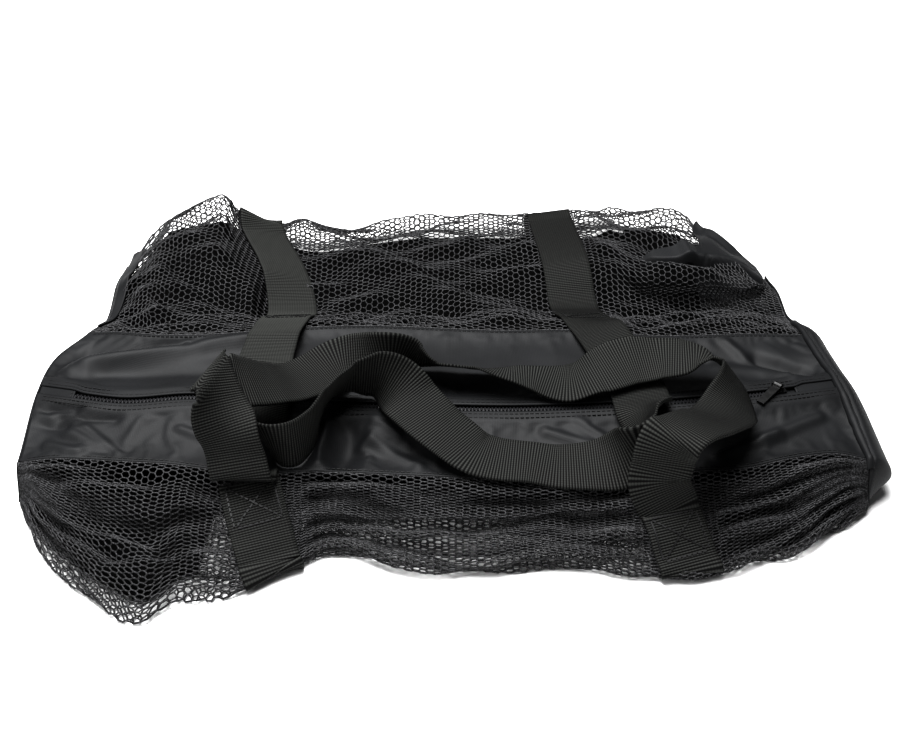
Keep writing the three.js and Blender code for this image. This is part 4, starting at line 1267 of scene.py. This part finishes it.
def webbing_band(route, stitching):
    """A ribbed band along a route, lifted clear of the nylon and the zip beneath it."""
    length = route["key"][-1]
    steps = int(length / RIB_STEP)
    s = np.linspace(0, length, steps + 1)
    middle = np.stack([column(route, k, s) for k in "xyz"], -1)
    along = unit(np.gradient(middle, axis=0))
    across = np.stack([column(route, "across" + k, s) for k in "XYZ"], -1)
    onward = (across * along).sum(axis=1)
    across -= along * onward[:, None]
    slant = column(route, "slant", s) * onward / np.linalg.norm(across, axis=1)
    across = unit(across)
    lift = np.zeros(len(s))
    for offset in np.linspace(-0.5, 0.5, FEELERS) * WEBBING_WIDTH:
        x, y, z = (middle + across * offset).T
        floor = upper(x, y) + CHAIN_LIFT * (np.abs(y - zip_line(x)) < CHAIN_HALF)
        floor = np.maximum(floor, resting(x, y) - NYLON_THICK / 2)
        on_top = (y > front_seam(x)) & (y < back_seam(x)) & (z > FOLD_LIP)
        lift = np.maximum(lift, np.where(on_top, floor + HANDLE_LIFT - z, 0))
    spread = np.exp(-((np.arange(-LIFT_REACH, LIFT_REACH + 1) / LIFT_SPREAD) ** 2))
    lift = np.convolve(lift, spread / spread.sum(), mode="same")
    middle[:, 2] = np.maximum(middle[:, 2] + lift, BAND_HALF)
    level = np.maximum(middle[:, 2] - BAND_HALF, 0) / (WEBBING_WIDTH / 2)
    across[:, 2] = np.clip(across[:, 2], -level, level)
    across = unit(across)
    facing = np.cross(along, across)

    for seam_s, way in ((route["seams"][0], -1), (route["seams"][1], 1)):
        near, far = seam_s + way * BOX_START, seam_s + way * (BOX_START + BOX_LENGTH)
        box = [(near, -1), (near, 1), (far, 1), (far, -1), (near, -1), (far, 1), (near, 1), (far, -1)]
        for (from_s, from_side), (to_s, to_side) in zip(box, box[1:]):
            at_s = np.linspace(from_s, to_s, BOX_STEPS)
            i = np.clip(np.rint(at_s / length * steps).astype(int), 0, steps)
            up = facing[i] * np.sign(facing[i][:, 2:])
            aside = np.linspace(from_side * BOX_HALF, to_side * BOX_HALF, BOX_STEPS)[:, None]
            sew(stitching, middle[i] + across[i] * aside + up * BAND_HALF, up, STRAP_THREAD)

    def place(u, v):
        i = np.rint(u * steps).astype(int)
        offset = (v - 0.5) * WEBBING_WIDTH
        rib = RIB_HEIGHT * np.cos(2 * math.pi * (s[i] + slant[i] * offset) / RIB_PITCH)
        rung = across[i] + along[i] * slant[i][:, None]
        return middle[i] + rung * offset[:, None] + facing[i] * rib[:, None]

    band = cloth(steps, BAND_ROWS, place, (length, WEBBING_WIDTH))
    flat = band.loops.layers.uv["flat"]
    for face in band.faces:
        for loop in face.loops:
            u, v = loop[flat].uv
            i = min(round(u / MM / length * steps), steps)
            loop[flat].uv = (u + slant[i] * (v - WEBBING_WIDTH / 2 * MM), v)
    return band


# Spun polypropylene webbing: matt, faintly olive black. Its grooves are painted near black as shade, and its
# rib crowns are paler as painted highlight.
PICK_PITCH = 1.9
webbing = blank("ribbed_webbing")
band_map = add(webbing, "TexCoord")
picks = add(
    webbing,
    "TexWave",
    {"bands_direction": "Y"},
    Vector=band_map.outputs["UV"],
    Scale=WAVE_LENGTH / (PICK_PITCH * MM),
)
ribs = add(
    webbing,
    "TexWave",
    {"bands_direction": "X", "wave_profile": "SIN"},
    Vector=band_map.outputs["UV"],
    Scale=WAVE_LENGTH / (RIB_PITCH * MM),
    Phase_Offset=math.pi / 2,
)
pips = add(webbing, "MapRange", Value=picks.outputs["Fac"], To_Min=0.65, To_Max=1.0)
rib_relief_and_shading = add(webbing, "Math", {"operation": "MULTIPLY"}, ribs.outputs["Fac"], pips.outputs[0])
# This ramp paints shade near black into the grooves and a paler highlight on the crowns. The same rib pattern
# drives the bump.
webbing_painted_shading = add(webbing, "ValToRGB", Fac=rib_relief_and_shading.outputs[0], stops=((0.2, "#020202"), (0.8, "#3c3d3b")))
webbing_bump = add(webbing, "Bump", Height=rib_relief_and_shading.outputs[0], Strength=0.6, Distance=0.4 * MM)
finish(
    webbing,
    Base_Color=webbing_painted_shading.outputs["Color"],
    Normal=webbing_bump.outputs["Normal"],
    Roughness=0.8,
    IOR=1.5,
    Specular_IOR_Level=0.2,
)

FRONT_LEFT = table("share x", (0, -128), (1, -108))
FRONT_RIGHT = table("share x", (0, 130), (1, 147))
BACK_LEFT = table("share x", (0, -124), (0.3, -124), (0.52, -134), (0.72, -152), (0.86, -164), (1, -166))
BACK_RIGHT = table("share x", (0, 104), (1, 86))
FRONT_LEFT_START = 0.1
FRONT_RIGHT_START = 0.36
BACK_START = 0.07
front_legs = (FRONT_LEFT, FRONT_LEFT_START), (FRONT_RIGHT, FRONT_RIGHT_START)
back_legs = (BACK_LEFT, BACK_START), (BACK_RIGHT, BACK_START)
front_route = strap(front_net, -1, *front_legs, FRONT_HANDLE)
back_route = strap(back_net, 1, *back_legs, BACK_HANDLE)
stitching = bmesh.new()
for name, route in (("front", front_route), ("back", back_route)):
    band = webbing_band(route, stitching)
    put(name + "_webbing", band, webbing, nodes=[name + "_strap"], wall=WEBBING_THICK)
put("strap_stitches", stitching, thread, hard=True)

# Slider and pull of the zip: zinc castings, painted black, with rounded edges. The slider rides on the
# teeth, and the pull swings on the slider's bridge.
CAST_ROUND = 0.35
CAST_SHARP = math.radians(25)
CAST_FLAT = math.radians(2)
CAST_MERGE = 0.01
PAINT_WEAR = 3.3
zinc = blank("painted_zinc")
zinc_place = add(zinc, "TexCoord")
zinc_wear = add(zinc, "TexNoise", Vector=zinc_place.outputs["Object"], Scale=1 / (PAINT_WEAR * MM))
zinc_gloss = add(zinc, "MapRange", Value=zinc_wear.outputs["Fac"], To_Min=0.25, To_Max=0.5)
finish(zinc, Base_Color=linear("#070708"), Roughness=zinc_gloss.outputs[0], Metallic=0.2)
for name, body in (("zip_slider", "bag"), ("zip_pull", "pull")):
    node = bpy.data.objects[name]
    bm = bmesh.new()
    bm.from_mesh(node.data)
    bm.transform(node.matrix_world)
    bmesh.ops.remove_doubles(bm, verts=bm.verts[:], dist=CAST_MERGE * MM)
    bmesh.ops.dissolve_limit(bm, angle_limit=CAST_FLAT, verts=bm.verts[:], edges=bm.edges[:])
    sharp = [edge for edge in bm.edges if edge.calc_face_angle(0) > CAST_SHARP]
    bmesh.ops.bevel(
        bm,
        geom=sharp,
        offset=CAST_ROUND * MM,
        affect="EDGES",
        segments=3,
        profile=0.5,
        material=-1,
        clamp_overlap=True,
    )
    put(name + "_casting", bm, zinc, body, nodes=[name], hard=True)
